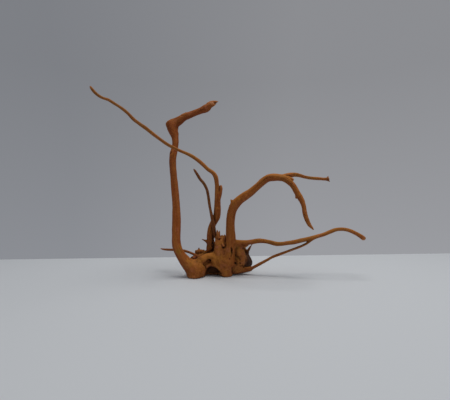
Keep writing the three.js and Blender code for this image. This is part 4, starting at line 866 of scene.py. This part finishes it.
# lighter on sharp ridges and broad bulges: partly edge wear, partly painted highlight
worn_and_highlit = np.clip(-hollow * 8.0 - 0.5 * np.minimum(broad, 0.0), 0.0, 1.0)
# darker in creases: painted shade
crease_shade = np.clip(hollow * 8.0, 0.0, 1.0)
painted_occlusion = np.clip(0.75 * near_in + 0.55 * far_in, 0.0, 1.0)

tone = np.array([TONE.get(n, 0.0) for n in names])
dark_wood_and_shade = (1.0 - share) * tone[l1] + share * tone[l2]
for _ in range(6):
    dark_wood_and_shade = neighbours_mean(dark_wood_and_shade[:, None])[:, 0]

tint = np.array([TINT.get(n, 0.0) for n in names])
tint = (1.0 - share) * tint[l1] + share * tint[l2]
for _ in range(6):
    tint = neighbours_mean(tint[:, None])[:, 0]
upward = normal[:, 2].copy()
for _ in range(3):
    upward = neighbours_mean(upward[:, None])[:, 0]
# painted light and shade: faces turned up are tinted golden and faces turned down redder, by which way they face
tint = tint + 0.75 * smooth(-0.1, 0.9, upward) - 0.45 * smooth(0.0, 0.9, -upward)
# painted shade: the walls of the hollow are darkened, as shade falls there
cave_wall_shade = smooth(0.8, -1.2, sample((verts + normal * 2.4 - low) / CELL, hollow_field))
cave_wall_shade *= smooth(0.0, 4.0, verts[:, 1] - CAVES[0][1][1] - 1.0)
for _ in range(2):
    cave_wall_shade = neighbours_mean(cave_wall_shade[:, None])[:, 0]
dark_wood_and_shade = np.maximum(dark_wood_and_shade, 0.78 * cave_wall_shade)
# painted shade on faces that turn downward
underside_shade = smooth(0.25, -0.95, upward)

golden_and_top_light = np.clip(tint, 0.0, 1.0)
rusty_and_under_shade = np.clip(-tint, 0.0, 1.0)
olive = np.zeros(N)
pink_and_highlight = np.zeros(N)
painted_light = np.zeros(N)
marks = {"dark_wood_and_shade": dark_wood_and_shade, "gold": golden_and_top_light, "rust": rusty_and_under_shade, "olive": olive, "pink_and_highlight": pink_and_highlight, "painted_light": painted_light}
ragged = np.stack([noise(verts / 3.2, 31), noise(verts / 3.2, 32), noise(verts / 3.2, 33)], 1)
for kind, strength, x, y, z, r in STAINS:
    away = np.linalg.norm(verts + ragged * (0.35 * r) - (x, y, z), axis=1) / r
    hold = strength * smooth(1.15, 0.35, away)
    for name, value in marks.items():
        if name == kind:
            value[:] = np.maximum(value, hold)
        elif name != "dark_wood_and_shade":
            value *= 1.0 - 0.8 * hold

# broken and cut ends, where bare wood shows
bare = np.zeros(N)
for name, back in BARE:
    k = names.index(name)
    line = lines[k]
    m = l1 == k
    bare[m] = np.maximum(bare[m], smooth(-back, -0.35 * back, g1[m, 2] - line.s[-1]))

# the grain's place at each corner of each face, all four from one limb
votes = l1[quads]
label = votes[:, 0].copy()
for a, b in ((1, 2), (1, 3), (2, 3)):
    same = votes[:, a] == votes[:, b]
    label[same] = votes[same, a]
corner = quads.ravel()
want = np.repeat(label, 4)
swap = (l1[corner] != want) & (l2[corner] == want)
cg1 = np.where(swap[:, None], g2[corner], g1[corner])
cg2 = np.where(swap[:, None], g1[corner], g2[corner])
cn1 = np.where(swap, l2[corner], l1[corner])
cn2 = np.where(swap, l1[corner], l2[corner])
cshare = np.where(swap, 1.0 - share[corner], share[corner])
for g, n in ((cg1, cn1), (cg2, cn2)):
    g[:, 0] += n * 61.0
    g[:, 1] += n * 37.0

mesh = bpy.data.meshes.new("dry_root_wood")
mesh.vertices.add(N)
mesh.vertices.foreach_set("co", (skin * 0.001).astype(np.float32).ravel())
mesh.loops.add(len(quads) * 4)
mesh.loops.foreach_set("vertex_index", quads.astype(np.int32).ravel())
mesh.polygons.add(len(quads))
mesh.polygons.foreach_set(
    "loop_start", np.arange(0, len(quads) * 4, 4, dtype=np.int32)
)
mesh.polygons.foreach_set("use_smooth", np.ones(len(quads), bool))
mesh.update(calc_edges=True)
mesh.validate()


def attribute(name, kind, domain, values):
    a = mesh.attributes.new(name, kind, domain)
    field_name = "vector" if kind == "FLOAT_VECTOR" else "value"
    a.data.foreach_set(field_name, np.ascontiguousarray(values, np.float32).ravel())


attribute("grain_a", "FLOAT_VECTOR", "CORNER", cg1)
attribute("grain_b", "FLOAT_VECTOR", "CORNER", cg2)
attribute("grain_share", "FLOAT", "CORNER", cshare)
attribute("painted_occlusion", "FLOAT", "POINT", painted_occlusion)
attribute("worn_and_highlit", "FLOAT", "POINT", worn_and_highlit)
attribute("crease_shade", "FLOAT", "POINT", crease_shade)
attribute("stumpy", "FLOAT", "POINT", stumpy)
attribute("dark_wood_and_shade", "FLOAT", "POINT", dark_wood_and_shade)
attribute("bare", "FLOAT", "POINT", bare)
attribute("golden_and_top_light", "FLOAT", "POINT", golden_and_top_light)
attribute("rusty_and_under_shade", "FLOAT", "POINT", rusty_and_under_shade)
attribute("underside_shade", "FLOAT", "POINT", underside_shade)
attribute("broad", "FLOAT", "POINT", np.maximum(broad, 0.0))
attribute("olive", "FLOAT", "POINT", olive)
attribute("pink_and_highlight", "FLOAT", "POINT", pink_and_highlight)
attribute("painted_light", "FLOAT", "POINT", painted_light)

root = bpy.data.objects.new("dry_root_wood", mesh)
bpy.context.scene.collection.objects.link(root)


# --------------------------------------------------------------- the material
def material(name):
    m = bpy.data.materials.new(name)
    m.use_nodes = True
    m.node_tree.nodes.clear()
    return m, m.node_tree


def node(tree, kind, **values):
    n = tree.nodes.new(kind)
    for key, value in values.items():
        if key.startswith("in_"):
            n.inputs[int(key[3:])].default_value = value
        else:
            setattr(n, key, value)
    return n


wood, tree = material("dry_root_wood")
link = tree.links.new
out = node(tree, "ShaderNodeOutputMaterial")
bsdf = node(tree, "ShaderNodeBsdfPrincipled")
link(bsdf.outputs[0], out.inputs[0])


def attr(name):
    return node(tree, "ShaderNodeAttribute", attribute_name=name)


def maths(op, a, b=None, clamp=False):
    n = node(tree, "ShaderNodeMath", operation=op, use_clamp=clamp)
    for i, v in enumerate((a, b)):
        if v is None:
            continue
        if isinstance(v, (int, float)):
            n.inputs[i].default_value = v
        else:
            link(v, n.inputs[i])
    return n.outputs[0]


def mixed(f, a, b, blend="MIX"):
    n = node(tree, "ShaderNodeMix", data_type="RGBA", blend_type=blend)
    for i, v in ((0, f), (6, a), (7, b)):
        if isinstance(v, (int, float)):
            n.inputs[i].default_value = v
        elif isinstance(v, tuple):
            n.inputs[i].default_value = (*v, 1.0)
        else:
            link(v, n.inputs[i])
    return n.outputs[2]


def blended(f, a, b):
    n = node(tree, "ShaderNodeMix", data_type="FLOAT")
    for i, v in ((0, f), (2, a), (3, b)):
        if isinstance(v, (int, float)):
            n.inputs[i].default_value = v
        else:
            link(v, n.inputs[i])
    return n.outputs[0]


def scaled(vector, factors):
    n = node(tree, "ShaderNodeVectorMath", operation="MULTIPLY")
    link(vector, n.inputs[0])
    n.inputs[1].default_value = factors
    return n.outputs[0]


def cloud(vector, detail=3.0, rough=0.55, distortion=0.0):
    n = node(tree, "ShaderNodeTexNoise")
    link(vector, n.inputs["Vector"])
    n.inputs["Scale"].default_value = 1.0
    n.inputs["Detail"].default_value = detail
    n.inputs["Roughness"].default_value = rough
    n.inputs["Distortion"].default_value = distortion
    return n.outputs[0]


def spread(value, low_in, high_in, low_out=0.0, high_out=1.0):
    n = node(tree, "ShaderNodeMapRange")
    n.clamp = True
    link(value, n.inputs[0])
    for i, v in enumerate((low_in, high_in, low_out, high_out)):
        n.inputs[i + 1].default_value = v
    return n.outputs[0]


grain_a, grain_b = attr("grain_a").outputs["Vector"], attr("grain_b").outputs["Vector"]
part_b = attr("grain_share").outputs["Fac"]
painted_occlusion_in = attr("painted_occlusion").outputs["Fac"]
worn_and_highlit_in = attr("worn_and_highlit").outputs["Fac"]
crease_shade_in = attr("crease_shade").outputs["Fac"]
stump_in = attr("stumpy").outputs["Fac"]
dark_wood_and_shade_in = attr("dark_wood_and_shade").outputs["Fac"]
bare_in = attr("bare").outputs["Fac"]
golden_and_top_light_in = attr("golden_and_top_light").outputs["Fac"]
rusty_and_under_shade_in = attr("rusty_and_under_shade").outputs["Fac"]
underside_shade_in = attr("underside_shade").outputs["Fac"]
broad_hollow_shade_in = attr("broad").outputs["Fac"]
olive_in = attr("olive").outputs["Fac"]
pink_and_highlight_in = attr("pink_and_highlight").outputs["Fac"]
painted_light_in = attr("painted_light").outputs["Fac"]
here = node(tree, "ShaderNodeTexCoord").outputs["Object"]


def along(factors, **how):
    """A noise drawn out along the grain, the same on both sides of a fork."""
    return blended(
        part_b, cloud(scaled(grain_a, factors), **how), cloud(scaled(grain_b, factors), **how)
    )


bands = along((0.16, 0.16, 0.012), detail=2.0)
streaks = along((0.62, 0.62, 0.030), detail=3.0, rough=0.6)
fibres = along((2.4, 2.4, 0.11), detail=3.0, rough=0.65)
cracks = along((0.85, 0.85, 0.022), detail=1.0, rough=0.4)
patches = cloud(scaled(here, (38.0, 38.0, 38.0)), detail=2.0)

# the stump is blotchier than the branches
rough_part = maths("ADD", 0.5, maths("MULTIPLY", stump_in, 0.5))
speckle = cloud(scaled(here, (430.0, 430.0, 430.0)), detail=3.0, rough=0.7)
hues = cloud(scaled(here, (260.0, 260.0, 210.0)), detail=2.0, rough=0.5, distortion=0.6)
blotch = spread(
    cloud(scaled(here, (120.0, 120.0, 120.0)), detail=3.0, rough=0.6), 0.38, 0.62, 0.6, 1.0
)


def tinted(colour, amount, other, part=rough_part):
    return mixed(maths("MULTIPLY", part, amount), colour, other)


colour = mixed(spread(patches, 0.36, 0.64), BROWN, RED)
colour = mixed(maths("MULTIPLY", spread(bands, 0.45, 0.70), 0.75), colour, TAN)
colour = mixed(maths("MULTIPLY", spread(streaks, 0.58, 0.38), 0.36), colour, SHADE)
colour = mixed(maths("MULTIPLY", spread(fibres, 0.50, 0.68), 0.22), colour, TAN)
colour = tinted(colour, spread(hues, 0.57, 0.70, 0.0, 0.55), PINK)
colour = tinted(colour, spread(hues, 0.42, 0.30, 0.0, 0.32), OLIVE)
for amount, other in (
    (golden_and_top_light_in, GOLD),
    (rusty_and_under_shade_in, RUST),
    (olive_in, OLIVE),
    (pink_and_highlight_in, PINK),
):
    colour = tinted(colour, amount, other, blotch)
colour = tinted(colour, spread(speckle, 0.46, 0.30, 0.0, 0.60), SHADE)
colour = tinted(colour, spread(speckle, 0.56, 0.72, 0.0, 0.45), LIGHT)
# painted shade on undersides
colour = mixed(maths("MULTIPLY", underside_shade_in, 0.30), colour, SHADE)
# painted shade in broad hollows
colour = mixed(maths("MULTIPLY", broad_hollow_shade_in, 0.60), colour, SHADE)
# painted light on parts that sit in shade
colour = tinted(colour, painted_light_in, LIGHT, blotch)
# edge wear, partly painted highlight
colour = mixed(maths("MULTIPLY", worn_and_highlit_in, 0.50), colour, LIGHT)
# painted shade in creases
colour = mixed(maths("MULTIPLY", crease_shade_in, 0.65), colour, DEEP)
# painted shade in closed-in places (painted occlusion)
occlusion_shade = spread(painted_occlusion_in, 0.15, 0.95)
colour = mixed(maths("MULTIPLY", occlusion_shade, 0.62), colour, DEEP)
# a crack is a thin line where the noise crosses its middle
line = maths("ABSOLUTE", maths("SUBTRACT", cracks, 0.5))
gate = spread(along((0.05, 0.05, 0.02), detail=1.0), 0.50, 0.60)
crack = maths("MULTIPLY", spread(line, 0.012, 0.0), gate)
colour = mixed(maths("MULTIPLY", crack, 0.8), colour, DEEP)
# dark wood, and painted shade in the hollow and on strands that sit in shade
colour = mixed(dark_wood_and_shade_in, colour, DARKEST)
rings = along((1.6, 1.6, 0.25), detail=2.0)
colour = mixed(
    maths("MULTIPLY", bare_in, 0.85), colour, mixed(spread(rings, 0.4, 0.6), PALE, TAN)
)
link(colour, bsdf.inputs["Base Color"])
rough = maths("ADD", spread(fibres, 0.3, 0.7, 0.52, 0.70), maths("MULTIPLY", occlusion_shade, 0.2))
link(rough, bsdf.inputs["Roughness"])
bsdf.inputs["Specular IOR Level"].default_value = 0.10

height = maths(
    "ADD",
    maths("MULTIPLY", streaks, 0.9),
    maths("ADD", maths("MULTIPLY", fibres, 0.45), maths("MULTIPLY", speckle, 0.9)),
)
height = maths("SUBTRACT", height, maths("MULTIPLY", crack, 1.2))
bump = node(tree, "ShaderNodeBump")
bump.inputs["Strength"].default_value = 0.7
bump.inputs["Distance"].default_value = 0.0006
link(height, bump.inputs["Height"])
link(bump.outputs[0], bsdf.inputs["Normal"])
mesh.materials.append(wood)

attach(root, "root")
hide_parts("dry_root")


# ------------------------------------------------------- surroundings and light
def plain(name, colour, roughness):
    m, t = material(name)
    o = node(t, "ShaderNodeOutputMaterial")
    b = node(t, "ShaderNodeBsdfPrincipled")
    b.inputs["Base Color"].default_value = (*colour, 1.0)
    b.inputs["Roughness"].default_value = roughness
    b.inputs["Specular IOR Level"].default_value = 0.2
    t.links.new(b.outputs[0], o.inputs[0])
    return m


def slab(name, outline, m):
    """A flat board with its top at z = 0."""
    n = len(outline)
    points = [(x, y, 0.0) for x, y in outline] + [(x, y, -TABLE_THICK) for x, y in outline]
    sides = [(i, n + i, n + (i + 1) % n, (i + 1) % n) for i in range(n)]
    me = bpy.data.meshes.new(name)
    me.from_pydata(points, [], [tuple(range(n)), tuple(reversed(range(n, 2 * n))), *sides])
    me.materials.append(m)
    o = bpy.data.objects.new(name, me)
    bpy.context.scene.collection.objects.link(o)
    return o


near, far = -2.0, EDGE
table_top = slab(
    "table",
    [(far[0][0], near), (far[1][0], near), far[1], far[0]],
    plain("table", FLOOR_COLOUR, 0.6),
)


def area(name, place, look_at, size, power, colour=(1.0, 1.0, 1.0)):
    lamp = bpy.data.lights.new(name, "AREA")
    lamp.shape = "RECTANGLE"
    lamp.size, lamp.size_y = size
    lamp.energy = power
    lamp.color = colour
    o = bpy.data.objects.new(name, lamp)
    o.location = place
    o.rotation_euler = (Vector(look_at) - Vector(place)).to_track_quat("-Z", "Y").to_euler()
    bpy.context.scene.collection.objects.link(o)
    return o


for spec in LAMPS:
    area(*spec)

world = bpy.data.worlds.new("room")
world.use_nodes = True
tree = world.node_tree
link = tree.links.new
split = node(tree, "ShaderNodeSeparateXYZ")
link(node(tree, "ShaderNodeTexCoord").outputs["Generated"], split.inputs[0])
sideways = spread(split.outputs[0], -0.45, 0.20)
upwards = spread(split.outputs[2], -0.15, 0.36)
room = mixed(sideways, ROOM_LEFT, ROOM_RIGHT)
room = mixed(maths("MULTIPLY", upwards, 1.0 - ROOM_HIGH), room, (0.0, 0.0, 0.0))
link(room, tree.nodes["Background"].inputs[0])
tree.nodes["Background"].inputs[1].default_value = 1.0
bpy.context.scene.world = world

camera = bpy.data.cameras.new("camera")
camera.lens = 24.0
camera.sensor_width = 36.0
camera.sensor_fit = "HORIZONTAL"
camera.clip_start = 0.02
camera.clip_end = 50.0
camera.dof.use_dof = False
eye = bpy.data.objects.new("camera", camera)
eye.location = CAMERA
eye.rotation_euler = (math.radians(90.0), 0.0, 0.0)
bpy.context.scene.collection.objects.link(eye)
bpy.context.scene.camera = eye
bpy.context.scene.view_settings.view_transform = "Standard"
bpy.context.scene.view_settings.look = "None"

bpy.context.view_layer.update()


print("faces", len(quads), "verts", N)
